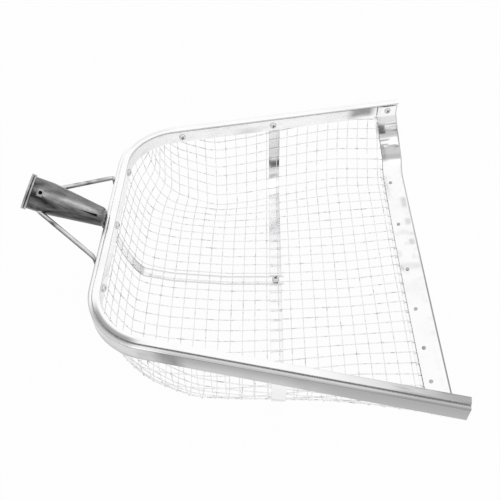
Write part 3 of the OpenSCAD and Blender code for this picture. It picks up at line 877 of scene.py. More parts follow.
@dataclass
class FrameRail:
    """The grooved aluminium rail and the strip that clamps the mesh inside it."""

    back_steps: int = 8
    corner_steps: int = 26
    arm_steps: int = 26
    strip_end_x: float = 294.0
    strip_outer: float = 9.35
    strip_inner: float = 10.95
    strip_top: float = -2.4
    strip_bottom: float = -16.5
    strip_ease: float = 0.35
    strip_wave: float = 0.16
    wave_length: float = 26.0
    bend_darkening: Band = Band(1.15, 1.4, 1.85, 2.05)
    bend_wear: Band = Band(1.3, 1.6, 2.0, 2.15, 0.45)
    arm_dark_band: Band = Band(62.0, 72.0, 84.0, 96.0, 0.7)
    strip_corner: Band = Band(0.9, 1.1, 1.6, 2.0, 0.12)
    strip_middle: Band = Band(126.0, 134.0, 146.0, 156.0, 0.28)
    strip_end: Band = Band(256.0, 270.0, 290.0, 296.0, 0.85)

    def section(self) -> list[tuple[float, float, RailSlot]]:
        """The rail's section, up its outer face, over its top and round the channel inside.

        Returns:
            Inset, height and the finish of the side that starts there, for each point.
        """
        outside = [
            (0.5, -18.5), (0.12, -18.35), (0.0, -18.0), (0.0, -14.0), (0.0, -9.0), (0.0, -5.0),
            (0.0, -3.1), (0.22, -2.75),
        ]
        ledge = [(0.05, -2.4), (0.08, -1.95), (0.5, -1.55), (1.4, -1.5), (2.6, -1.5), (3.15, -1.58)]
        groove = [(3.4, -1.75), (3.45, -2.5), (4.15, -2.5)]
        top = [
            (4.2, -0.7), (4.4, -0.22), (4.9, 0.0), (5.8, 0.0), (7.0, 0.0), (8.6, 0.0), (10.2, 0.0),
            (10.75, -0.16), (11.0, -0.6), (11.0, -1.8), (10.7, -2.2),
        ]
        channel = [
            (6.3, -2.2), (6.3, -18.2), (6.0, -18.5), (5.2, -18.5), (4.9, -18.2), (4.9, -3.4),
            (1.4, -3.4), (1.4, -18.2), (1.1, -18.5),
        ]
        runs = (
            (RailSlot.FACE, outside),
            (RailSlot.TOP, ledge),
            (RailSlot.GROOVE, groove),
            (RailSlot.TOP, top),
            (RailSlot.FACE, channel),
        )
        return [(inset, z, slot) for slot, points in runs for inset, z in points]

    def stations(self, last: float) -> list[tuple[Side, float]]:
        """Plan stations from the left arm's end round to the right arm's.

        Args:
            last: Plan position of both ends.

        Returns:
            Side and plan position of each station.
        """
        half = half_stations(self.back_steps, self.corner_steps, self.arm_steps, last)
        return [(Side.LEFT, u) for u in reversed(half)] + [(Side.RIGHT, u) for u in half[1:]]

    @staticmethod
    def spot(side: Side, u: float, inset: float, z: float) -> Vector:
        """Point of the rail on its own side."""
        p = NET.plan(u, inset)
        return Vector((p.x, side.value * p.y, z))

    def top_tone(self, near: bool, u: float, inset: float, x: float) -> float:
        """Darkness of the top: a band at the corner bend, painted shade at the near arm's end and
        inner edge.

        Args:
            near: True on the right side.
            u: Plan position.
            inset: Distance inside the outer face.
            x: Distance from the back face.

        Returns:
            The darkness.
        """
        mark = self.bend_darkening.at(u) * (1.0 - ramp(6.4, 8.6, inset))
        if not near:
            return 0.2 * mark
        # Painted shade (dark reflection): the near arm's top darkens in streaks towards its end,
        # and along its inner edge.
        streak = ramp(0.0, 0.6, cloud(x / 12.0, inset / 1.4, 2.0))
        inner_edge_shade = ramp(120.0, 260.0, x) * ramp(10.1, 10.9, inset)
        near_end_shade = 0.55 * ramp(190.0, 300.0, x) + 0.3 * ramp(282.0, 310.0, x)
        return 0.95 * mark + near_end_shade + 0.45 * streak * ramp(225.0, 295.0, x) + 0.75 * inner_edge_shade

    def ledge_tone(self, near: bool, u: float, inset: float, x: float) -> float:
        """Darkness of the ledge outside the groove: painted shade on its outer edge and over the
        near arm.

        Args:
            near: True on the right side.
            u: Plan position.
            inset: Distance inside the outer face.
            x: Distance from the back face.

        Returns:
            The darkness.
        """
        ledge_edge_shade = (1.0 - ramp(0.2, 1.9, inset)) * (1.0 - ramp(1.1, 1.4, u))
        tone = ledge_edge_shade * (0.9 if near or u < 0.2 else 0.45)
        if not near:
            return tone + 0.4 * (1.0 - ramp(0.1, 0.9, inset)) * ramp(1.4, 2.0, u)
        tone += self.bend_darkening.at(u) * (0.35 * ramp(0.7, 2.4, inset) + 0.5)
        arm = mix(0.85, 0.48, ramp(0.5, 1.6, inset)) + 0.25 * ramp(225.0, 295.0, x)
        return tone + ramp(1.95, 2.15, u) * arm

    def face_tone(self, u: float, z: float, x: float) -> float:
        """Darkness of the outer face: painted shade on the arms and under the ledge, a band, wear
        and a darker foot at the back.

        Args:
            u: Plan position.
            z: Height.
            x: Distance from the back face.

        Returns:
            The darkness.
        """
        straight = ramp(1.95, 2.15, u)
        down = ramp(-3.0, -17.0, z)
        # Painted shade: the arms' face is darkened, most near its top, for the dark floor that it
        # reflects.
        arm = mix(mix(0.72, 0.3, down), mix(0.74, 0.62, down), ramp(185.0, 225.0, x))
        foot = 0.08 + 0.4 * ramp(-13.0, -18.0, z)
        wear = self.bend_wear.at(u) * ramp(0.0, 0.6, cloud(x / 16.0, z / 4.0, 7.0))
        # Painted shadow in a thin line under the ledge.
        under_ledge_shade = 0.5 if z > -3.0 else 0.0
        return mix(foot, arm + self.arm_dark_band.at(x), straight) + wear + under_ledge_shade

    def rail_tone(self, side: Side, u: float, inset: float, z: float, x: float) -> float:
        """Darkness of the rail: mostly painted shade, heaviest on the near side.

        Args:
            side: The side of the net.
            u: Plan position.
            inset: Distance inside the outer face.
            z: Height.
            x: Distance from the back face.

        Returns:
            The darkness, 0 to 1.
        """
        near = side is Side.RIGHT
        tone = 0.0
        # Painted shade in the groove, on the near side only.
        if 3.35 < inset < 4.22 and z < -0.6:
            tone = 0.5 * ramp(0.9, 1.3, u) if near else 0.0
        # Painted shade on the inward face of the top flange's lip.
        elif inset > 10.9 and z < -0.3:
            tone = 0.55
        elif z > -0.9 and inset > 4.1:
            tone = self.top_tone(near, u, inset, x)
        elif z > -2.5:
            tone = self.ledge_tone(near, u, inset, x)
        elif inset < 0.3:
            tone = self.face_tone(u, z, x)
        return clamp(tone)

    def rail(self) -> None:
        """Builds the rail."""
        section = self.section()
        rings, tones = [], []
        for side, u in self.stations(3.0):
            ring = [self.spot(side, u, inset, z) for inset, z, _ in section]
            places = zip(section, ring)
            rings.append(ring)
            tones.append([self.rail_tone(side, u, inset, z, p.x) for (inset, z, _), p in places])
        bm = loft(rings, [slot.value for _, _, slot in section], tones)
        finishes = [Finishes.frame, Finishes.rail_face_shaded, Finishes.groove]
        add_piece("frame_rail", bm, finishes, "frame_hoop")

    def strip_section(self) -> list[tuple[float, float]]:
        """Section of the clamp strip, with its inner corners eased.

        Returns:
            Inset and height of each point.
        """
        outer, inner, ease = self.strip_outer, self.strip_inner, self.strip_ease
        low, high = self.strip_bottom, self.strip_top
        face = [high - 0.4, *(mix(high, low, k) for k in (0.3, 0.5, 0.7)), low + 0.4]
        upper = [(outer, low), (outer, high), (inner - ease, high), (inner - 0.1, high - 0.1)]
        return upper + [(inner, z) for z in face] + [(inner - 0.1, low + 0.1), (inner - ease, low)]

    def strip_tone(self, u: float, p: Vector) -> float:
        """Darkness of the clamp strip: painted dark reflections, random mottling and a band round
        the corners.

        Args:
            u: Plan position.
            p: The point.

        Returns:
            The darkness.
        """
        # Painted reflections: dark patches high near the arms' ends and low in the middle of each
        # arm.
        tone = self.strip_end.at(p.x) * ramp(-17.0, -9.0, p.z)
        tone += self.strip_middle.at(p.x) * (1.0 - ramp(-12.0, -6.0, p.z))
        tone += 0.12 * ramp(0.1, 0.5, cloud(p.x / 14.0, p.y / 14.0, p.z / 6.0))
        return tone if u > 2.0 else tone + self.strip_corner.at(u)

    def strip(self) -> None:
        """Builds the clamp strip, slightly wavy between its screws."""
        rings, tones = [], []
        for side, u in self.stations(NET.arm_u(self.strip_end_x, 0.0)):
            ring, tone = [], []
            for inset, z in self.strip_section():
                p = self.spot(side, u, inset, z)
                wave = 0.0
                if inset == self.strip_inner:
                    wave = ripple(Vector((p.x, p.y, z * 2.0)), self.wave_length, self.strip_wave)
                ring.append(self.spot(side, u, inset - abs(wave), z))
                tone.append(self.strip_tone(u, p))
            rings.append(ring)
            tones.append(tone)
        bm = loft(rings, None, tones)
        add_piece("frame_clamp_strip", bm, [Finishes.strip], "clamp_strip")

    def build(self) -> None:
        """Builds both pieces."""
        self.rail()
        self.strip()


# --------------------------------------------------------------- wire basket


@dataclass
class WireBasket:
    """The basket: two sets of crossing wires draped over the basket's surface."""

    pitch: float = 12.7
    wire_d: float = 0.88
    sides: int = 6
    start: tuple[float, float, float] = (175.8, -3.8, -95.0)
    inside: tuple[float, float, float] = (160.0, 0.0, -20.0)
    top_z: float = -5.0
    front_x: float = 314.0
    rounds: int = 12
    most: int = 40
    spare_rows: int = 3
    spare_columns: int = 14
    least_gap: float = 3.0
    least_run: float = 0.2
    least_end: float = 0.1
    level: float = 0.001
    smooth_steps: int = 2
    lift: float = 0.42
    nodes: dict[Crossing, Vector] = field(default_factory=dict)

    def __post_init__(self) -> None:
        """Reads the surface that the wires lie in."""
        self.shell = NET.surface()

    def on_shell(self, point: Vector) -> Vector:
        """The nearest point of the basket's surface."""
        return self.shell.find_nearest(point)[0]

    def outward(self, point: Vector) -> Vector:
        """Unit normal that points out of the basket at a point of its surface."""
        normal = self.shell.find_nearest(point)[1]
        return normal if normal.dot(point - Vector(self.inside)) > 0.0 else -normal

    def _past(self, point: Vector) -> bool:
        """Whether a point is over the basket's edge."""
        return point.z > self.top_z or point.x > self.front_x

    def _spine(self, start: Vector, step: Vector, axis: int) -> list[Vector]:
        """Walks one pitch at a time in the plane where one coordinate is fixed.

        Args:
            start: The first crossing.
            step: Direction of the first step.
            axis: Number of the fixed coordinate.

        Returns:
            The crossings, with the first.
        """
        line = [start]
        heading = step
        while len(line) < self.most:
            here = line[-1]
            there = here + heading * self.pitch
            for _ in range(self.rounds):
                there = self.on_shell(there)
                there[axis] = start[axis]
                there = here + (there - here).normalized() * self.pitch
            if self._past(there):
                break
            heading = (there - here).normalized()
            line.append(there)
        return line

    def _corner(self, a: Vector, b: Vector, c: Vector) -> Vector:
        """Finds the crossing that closes a mesh.

        Args:
            a: A crossing one pitch from it.
            b: The other one.
            c: The crossing that it is opposite to.

        Returns:
            The crossing, on the basket's surface.
        """
        there = a + b - c
        for _ in range(self.rounds):
            there = self.on_shell(there)
            for near in (a, b):
                gap = there - near
                there = there + 0.5 * (gap.normalized() * self.pitch - gap)
        return self.on_shell(there)

    def drape(self) -> None:
        """Works out every crossing of the wires, from two spines outwards."""
        start = self.on_shell(Vector(self.start))
        self.nodes = {(0, 0): start}
        reach: dict[Crossing, int] = {}
        for sign in (1, -1):
            for axis, way in ((1, (sign, 0)), (0, (0, sign))):
                spine = self._spine(start, Vector((*way, 0.0)), axis)
                reach[way] = len(spine)
                for k, point in enumerate(spine[1:], 1):
                    self.nodes[(way[0] * k, way[1] * k)] = point
        for si in (1, -1):
            for sj in (1, -1):
                for j in range(1, reach[(0, sj)] + self.spare_rows):
                    for i in range(1, reach[(si, 0)] + self.spare_columns):
                        self._fill((si * i, sj * j), (si, sj))

    def _fill(self, spot: Crossing, sign: Crossing) -> None:
        """Adds one crossing where its three neighbours towards the start exist.

        Args:
            spot: Where it is among the crossings.
            sign: The quarter of the basket that it is in.
        """
        (i, j), (si, sj) = spot, sign
        a = self.nodes.get((i - si, j))
        b = self.nodes.get((i, j - sj))
        c = self.nodes.get((i - si, j - sj))
        if a is None or b is None or c is None:
            return
        there = self._corner(a, b, c)
        if not self._past(there) and (there - c).length >= self.least_gap:
            self.nodes[spot] = there

    def wires(self, along: bool) -> list[list[Vector]]:
        """Strings the crossings into wires.

        Args:
            along: True for the wires that run from the back to the mouth.

        Returns:
            One list of points for each unbroken wire.
        """
        fixed = 1 if along else 0
        runs: dict[int, list[tuple[int, Vector]]] = {}
        for key, point in self.nodes.items():
            runs.setdefault(key[fixed], []).append((key[1 - fixed], point))
        wires = []
        for run in runs.values():
            run.sort(key=lambda item: item[0])
            wire = [run[0][1]]
            for (k0, _), (k1, point) in zip(run, run[1:]):
                if k1 - k0 > 1:
                    wires.append(wire)
                    wire = []
                wire.append(point)
            wires.append(wire)
        return [self._run_out(wire) for wire in wires if len(wire) > 1]

    def _run_out(self, wire: list[Vector]) -> list[Vector]:
        """Lengthens both ends of a wire to the basket's edge.

        Args:
            wire: The wire's points.

        Returns:
            The same list, with its new ends.
        """
        for _ in range(2):
            heading = wire[-1] - wire[-2]
            room = 1.0
            if heading.z > self.level:
                room = min(room, (self.top_z - wire[-1].z) / heading.z)
            if heading.x > self.level:
                room = min(room, (self.front_x - wire[-1].x) / heading.x)
            if max(heading.z, heading.x) > self.least_run * self.pitch:
                wire.append(self.on_shell(wire[-1] + heading * max(room, self.least_end)))
            wire.reverse()
        return wire

    def build(self) -> None:
        """Builds both sets of wires."""
        self.drape()
        for name, along, lift in (
            ("mesh_long_wires", True, -self.lift),
            ("mesh_cross_wires", False, self.lift),
        ):
            rods = []
            for wire in self.wires(along):
                line = smooth_line([p + self.outward(p) * lift for p in wire], self.smooth_steps)
                rods.append(rod(line, self.wire_d / 2, self.sides))
            add_piece(name, join(rods), [Finishes.wire], "mesh_basket", sharp=80.0)


def smooth_line(points: list[Vector], steps: int) -> list[Vector]:
    """Puts a smooth curve through points.

    Args:
        points: The points to pass through.
        steps: How many pieces each gap is cut into.

    Returns:
        The curve's points.
    """
    ends = [points[0] * 2 - points[1], *points, points[-1] * 2 - points[-2]]
    line = [points[0]]
    for p0, p1, p2, p3 in zip(ends, ends[1:], ends[2:], ends[3:]):
        slope = p2 - p0
        curve = 2 * p0 - 5 * p1 + 4 * p2 - p3
        twist = 3 * p1 - p0 - 3 * p2 + p3
        for k in range(1, steps + 1):
            t = k / steps
            line.append(0.5 * (2 * p1 + slope * t + curve * t * t + twist * t * t * t))
    return line


def headings(line: list[Vector]) -> list[Vector]:
    """Unit direction of a line at each of its points."""
    last = len(line) - 1
    return [(line[min(i + 1, last)] - line[max(i - 1, 0)]).normalized() for i in range(last + 1)]


def rod(line: list[Vector], radius: float, sides: int) -> bmesh.types.BMesh:
    """Makes a closed round rod.

    Args:
        line: The points of its axis.
        radius: Its radius.
        sides: The number of its sides.

    Returns:
        The solid.
    """
    ahead = headings(line)
    side = ahead[0].orthogonal().normalized()
    rings = []
    for point, heading in zip(line, ahead):
        side = (side - heading * side.dot(heading)).normalized()
        rings.append(oval(point, side * radius, heading.cross(side) * radius, sides))
    return loft(rings)


# ---------------------------------------------------------- straps and strips


@dataclass
class FlatStrip:
    """A thin strip of sheet between two edge lines, with eased edges."""

    thick: float = 1.0
    ease: float = 0.22

    def section(self, wide: float) -> list[tuple[float, float]]:
        """Section of a strip.

        Args:
            wide: Its width.

        Returns:
            Distance across and depth below the inner face, for each point.
        """
        e, t = self.ease, self.thick
        inner = (e, 3 * e, wide * 0.25, wide * 0.5, wide * 0.75, wide - 3 * e, wide - e)
        outer = [(wide, e), (wide, t - e), (wide - e, t), (e, t), (0.0, t - e)]
        return [(0.0, e), *((s, 0.0) for s in inner), *outer]

    def rim(self, s: float, depth: float, wide: float) -> float:
        """Marks a strip's edges for painted shade: cut edges, eased corners and what is beside the
        second edge.

        Args:
            s: Distance across.
            depth: Depth below the inner face.
            wide: The strip's width.

        Returns:
            1 there, else 0.
        """
        inner = depth < self.thick / 2
        first = self.ease + 0.05 if inner else 0.05
        second = 3 * self.ease + 0.05 if inner else 0.05
        return 1.0 if s < first or s > wide - second else 0.0

    def solid(
        self,
        lines: tuple[list[Vector], list[Vector]],
        section: list[tuple[float, float]],
        near: Callable[[Vector], float],
        tone: Callable[[Vector, float, float], float] | None = None,
        wave: Callable[[Vector, float], float] | None = None,
    ) -> bmesh.types.BMesh:
        """Lofts the strip.

        Args:
            lines: Its two edge lines.
            section: Section points from section().
            near: Distance of the inner face outside the basket's surface.
            tone: Darkness at a point, by distance across and depth.
            wave: Unevenness of the inner face at a point, by distance across.

        Returns:
            The solid.
        """
        first, second = lines
        last = len(first) - 1
        rings, tones = [], []
        for i, (a, b) in enumerate(zip(first, second)):
            i0, i1 = max(i - 1, 0), min(i + 1, last)
            out = (b - a).cross(first[i1] + second[i1] - first[i0] - second[i0]).normalized()
            across = (b - a).normalized()
            ring, shade = [], []
            for s, depth in section:
                p = a + across * s
                uneven = wave(p, s) if wave and depth < self.thick / 2 else 0.0
                ring.append(p + out * (near(p) + depth + uneven))
                shade.append(tone(p, s, depth) if tone else 0.0)
            rings.append(ring)
            tones.append(shade)
        return loft(rings, None, tones)


@dataclass
class Straps(FlatStrip):
    """The cross strap and the long strap under the basket, and the nut of their screw."""

    cross_x: float = 173.0
    cross_wide: float = 13.0
    cross_steps: int = 44
    long_wide: float = 12.0
    wall_steps: int = 30
    floor_steps: int = 24
    overrun: float = 9.0
    lap_half: float = 8.0
    lap_ramp: float = 12.0
    lap_gap: float = 0.05
    nut_across: float = 7.0
    nut_high: float = 3.2
    nut_bore: float = 2.02
    nut_ease: float = 0.35
    nut_drop: float = 1.1
    # Painted dark reflections across the straps' bends.
    bend_reflection_block: Band = Band(-59.0, -60.5, -68.0, -69.5, 0.9)
    bend_dim_reflection: Band = Band(-19.0, -22.0, -57.0, -60.0)
    bend_reflection_line: Band = Band(-77.5, -79.0, -80.0, -81.5, 0.6)
    long_bend_reflection: Band = Band(-60.0, -66.0, -76.0, -80.0, 0.2)

    def cross_near(self, p: Vector) -> float:
        """The cross strap dips under the long strap in the middle."""
        over = NET.mesh_half + NET.strip_thick + self.lap_gap
        return mix(over, NET.mesh_half, ramp(0.0, 1.0, (abs(p.y) - self.lap_half) / self.lap_ramp))

    def cross_tone(self, p: Vector, s: float, depth: float) -> float:
        """Painted dark reflections at the cross strap's bend from wall to floor; painted shade on
        its edges.

        Args:
            p: The point.
            s: Distance across.
            depth: Depth below the inner face.

        Returns:
            The darkness.
        """
        # Painted shade on the edges, and painted reflections at the bend, stronger on the left.
        edge = mix(0.1, 0.2, ramp(-10.0, 30.0, p.y)) * self.rim(s, depth, self.cross_wide)
        dim_reflection = mix(0.3, 0.14, ramp(-45.0, -25.0, p.z)) * self.bend_dim_reflection.at(p.z)
        mark = max(dim_reflection, self.bend_reflection_block.at(p.z), self.bend_reflection_line.at(p.z))
        return min(1.0, edge + mark * (1.0 if p.y > 0.0 else 0.4))

    def long_tone(self, p: Vector, s: float, depth: float) -> float:
        """A painted dark reflection where the long strap bends, and painted shade on its edges.

        Args:
            p: The point.
            s: Distance across.
            depth: Depth below the inner face.

        Returns:
            The darkness.
        """
        edge = 0.4 * self.rim(s, depth, self.long_wide)
        return min(1.0, edge + self.long_bend_reflection.at(p.z) * (1.0 - ramp(26.0, 32.0, p.x)))

    def cross(self) -> None:
        """Builds the cross strap."""
        half = self.cross_wide / 2
        xs = (self.cross_x - half, self.cross_x + half)
        lines = tuple(NET.across(x, NET.mesh_top, 0.0, self.cross_steps) for x in xs)
        bm = self.solid(lines, self.section(self.cross_wide), self.cross_near, self.cross_tone)
        add_piece("strap_across", bm, [Finishes.strap], "cross_strap")

    def long(self) -> None:
        """Builds the long strap from the back bar to just past the cross strap."""
        steps, end = self.floor_steps, self.cross_x + self.overrun
        downs = [-1.0] + [i / self.wall_steps for i in range(self.wall_steps + 1)]
        path = [NET.wall(0.0, w) for w in downs]
        for x in (mix(NET.back_inset, end, i / steps) for i in range(1, steps + 1)):
            path.append(Vector((x, 0.0, NET.floor_z(x, 0.0))))
        half = Vector((0.0, self.long_wide / 2, 0.0))
        lines = ([p - half for p in path], [p + half for p in path])
        section = self.section(self.long_wide)
        bm = self.solid(lines, section, lambda p: NET.mesh_half, self.long_tone)
        add_piece("strap_along", bm, [Finishes.strap], "long_strap")

    def nut(self) -> None:
        """Builds the hexagon nut under the crossing."""
        high, ease, bore = self.nut_high, self.nut_ease, self.nut_bore
        low = NET.floor_z(self.cross_x, 0.0) - 2 * NET.mesh_half - self.nut_drop - high
        radius = self.nut_across / math.cos(math.pi / 6) / 2
        lower = [(bore, 0.0), (radius - ease, 0.0), (radius, ease)]
        upper = [(radius, high - ease), (radius - ease, high), (bore, high)]
        bm = lathe(lower + upper, Matrix.Translation((self.cross_x, 0.0, low)), steps=6)
        add_piece("strap_nut_hex", bm, [Finishes.screw], "strap_nut")

    def build(self) -> None:
        """Builds the straps and the nut."""
        self.cross()
        self.long()
        self.nut()


@dataclass
class Lip(FlatStrip):
    """The scraping lip across the mouth, the strip under it and the rivets."""

    front_x: float = 333.0
    wide: float = 24.3
    lean: float = 11.0
    steps: int = 96
    ground: float = 1.7
    backing_shift: float = -3.0
    backing_top: float = -19.5
    backing_steps: int = 40
    rivet_y: tuple[float, ...] = (138.0, 68.0, 0.0, -54.0, -102.0, -140.0)
    rivet_share: float = 0.72
    upright_x: float = 308.0
    upright_z: float = -55.0
    edge_depth: float = 0.9
    face_depth: float = 1.0
    dent_y: float = 5.0
    dent_reach: float = 9.0
    dent_deep: float = 0.3
    # Painted shade of dimples beside the rivets and of the dent, and painted reflections of the
    # creases down the left upright.
    dimple_shades: Table = ((104.0, 12.0), (72.0, 7.0), (40.0, 6.0))
    dimple_shade_across: Band = Band(13.0, 17.0, 20.0, 22.5, 0.3)
    haze: Band = Band(-30.0, 0.0, 40.0, 90.0, 0.14)
    dent_shade: Band = Band(-3.0, 3.0, 7.0, 12.0, 0.4)
    dent_across: Band = Band(0.0, 2.0, 18.0, 24.0)
    right_end: Band = Band(-16.0, -24.0, -60.0, -70.0, 0.25)
    slant_reflection: Band = Band(-50.8, -51.6, -52.6, -53.4, 0.6)
    upright_reflections: tuple[tuple[Band, Band], ...] = (
        (Band(-16.0, -19.0, -26.0, -28.0, 0.2), FULL_WIDTH),
        (Band(-27.6, -28.4, -29.2, -30.0, 0.6), FULL_WIDTH),
        (Band(-29.3, -30.2, -39.5, -41.5, 0.75), Band(-2.0, -1.0, 6.0, 9.0)),
        (Band(-35.6, -36.3, -37.2, -38.0, 0.5), Band(7.0, 9.0, 98.0, 99.0)),
        (Band(-36.5, -37.5, -44.5, -46.5, 0.3), FULL_WIDTH),
        (Band(-46.6, -47.4, -48.2, -49.0, 0.55), Band(-2.0, -1.0, 9.0, 15.0)),
        (Band(-54.0, -55.0, -65.0, -68.0, 0.52), FULL_WIDTH),
        (Band(-61.0, -62.5, -65.0, -66.5, 0.08), FULL_WIDTH),
    )

    def lip_section(self) -> list[tuple[float, float]]:
        """Section with its back edge pressed down on the mesh and a ground front edge.

        Returns:
            Distance across and depth below the inner face, for each point.
        """
        w, ground = self.wide, self.wide - self.ground
        pressed = [(0.0, 1.05), (0.15, 0.92), (1.5, 0.72), (3.2, 0.46), (5.0, 0.26), (6.8, 0.12)]
        flat = [(8.5, 0.03)] + [(s, 0.0) for s in (11.0, 14.0, 17.0, 20.0, ground - 0.25)]
        front = [(ground, 0.08), (w - 0.15, 0.7), (w, 0.85), (w - 0.15, 1.0)]
        return pressed + flat + front + [(8.5, 1.03), (4.0, 1.25), (0.4, 1.6)]

    def crease(self, p: Vector, s: float) -> float:
        """Hand-bent creases of the uprights and shallow dents of the flat.

        Args:
            p: The point.
            s: Distance across.

        Returns:
            How far the inner face moves out.
        """
        ground = self.wide - self.ground
        upright = ramp(-70.0, -60.0, p.z)
        folds = (
            math.sin(p.z / 2.6 + s * 0.05) * 0.16 + math.sin(p.z / 5.1 + 1.0 - s * 0.08) * 0.2
        )
        inward = -abs(folds) * upright * (1.0 if p.y > 0 else 0.6)
        flat = ripple(Vector((p.x, p.y, 0.0)), 19.0, 0.12)
        hollow = math.exp(-(((p.y - self.dent_y) / self.dent_reach) ** 2))
        dent = self.dent_deep * hollow * window(2.0, 6.0, 16.0, 22.0, s)
        fade = window(0.0, 1.5, ground - 1.0, ground, s)
        return (inward + (flat + dent) * (1.0 - upright)) * fade

    def face_tone(self, p: Vector, s: float) -> float:
        """Painted dimple shade by the rivets, painted crease reflections on the left upright, a
        band on the right.

        Args:
            p: The point.
            s: Distance across.

        Returns:
            The darkness of the inner face.
        """
        mottle = ramp(0.12, 0.5, cloud(p.x / 9.0, p.y / 12.0, 4.0))
        tone = mottle * self.haze.at(p.y)
        for y, reach in self.dimple_shades:
            spot = window(y - reach, y - reach * 0.4, y + reach * 0.4, y + reach, p.y)
            tone += spot * self.dimple_shade_across.at(s)
        tone += self.dent_shade.at(p.y) * self.dent_across.at(s) * (0.4 + mottle)
        tone += 0.1 * ramp(14.0, 21.0, s) * ramp(0.0, 0.4, cloud(p.y / 8.0, s / 5.0, 9.0))
        # The right upright gets a plain darker band.
        if p.y <= 0.0:
            return tone + self.right_end.at(p.z)
        bands = sum(band.at(p.z) * across.at(s) for band, across in self.upright_reflections)
        bands += self.slant_reflection.at(p.z + 0.1 * s)
        return tone + 1.25 * bands * ramp(144.0, 150.0, p.y)

    def lip_tone(self, p: Vector, s: float, depth: float) -> float:
        """Darkness of the lip: painted shade on its ground front edge, and its inner face.

        Args:
            p: The point.
            s: Distance across.
            depth: Depth below the inner face.

        Returns:
            The darkness, up to 1.
        """
        # Painted shade along the ground front edge, deeper on the right.
        if s > self.wide - self.ground - 0.05 and depth < self.edge_depth:
            return mix(0.78, 0.45, ramp(-40.0, 120.0, p.y))
        return min(1.0, self.face_tone(p, s)) if depth < self.face_depth else 0.0

    def sheet(self) -> None:
        """Builds the lip."""
        xs = (self.front_x - self.wide, self.front_x)
        lines = tuple(NET.across(x, NET.mesh_top, self.lean, self.steps) for x in xs)
        inner = -(NET.mesh_half + self.thick)
        bm = self.solid(lines, self.lip_section(), lambda p: inner, self.lip_tone, self.crease)
        add_piece("lip_sheet", bm, [Finishes.lip], "lip_strip", sharp=24.0)

    def backing(self) -> None:
        """Builds the strip under the mesh's front edge."""
        front = self.front_x + self.backing_shift
        lines = tuple(
            NET.across(x, self.backing_top, self.lean, self.backing_steps)
            for x in (front - self.wide, front)
        )
        bm = self.solid(lines, self.section(self.wide), lambda p: NET.mesh_half)
        add_piece("lip_backing", bm, [Finishes.lip], "lip_backing_strip")

    def rivets(self) -> None:
        """Builds the rivets through both strips."""
        grip = NET.mesh_half + self.thick
        tail = [(0.0, -0.8), (1.5, -0.8), (2.1, -0.55), (2.3, 0.0), (1.5, 0.0)]
        head = [(1.5, 0.0), (2.0, 0.0), (1.9, 0.35), (1.4, 0.75), (0.8, 0.9), (0.45, 0.9)]
        profile = [(r, z - grip) for r, z in tail]
        profile += [(r, z + grip) for r, z in (*head, (0.0, 0.6))]
        x = self.front_x - self.wide * self.rivet_share
        half = NET.wall_at_x(x, 1.0).y
        places = []
        for y in self.rivet_y:
            z = NET.floor_z(x, min(1.0, abs(y) / half))
            places.append(Matrix.Translation((x, y, z)))
        share = NET.wall_share(self.upright_x, self.upright_z)
        spot = NET.wall_at_x(self.upright_x, share)
        down = (NET.wall_at_x(self.upright_x, share + 0.02) - spot).normalized()
        lean = Matrix.Rotation(NET.splay, 4, "Z") @ Matrix.Rotation(math.acos(-down.z), 4, "X")
        places += [side.mirror @ Matrix.Translation(spot) @ lean for side in Side]
        whole = join([lathe(profile, place, steps=16) for place in places])
        add_piece("lip_rivet_set", whole, [Finishes.rivet], "lip_rivets")

    def build(self) -> None:
        """Builds the lip, its backing and its rivets."""
        self.sheet()
        self.backing()
        self.rivets()


# -------------------------------------------------------------------- screws


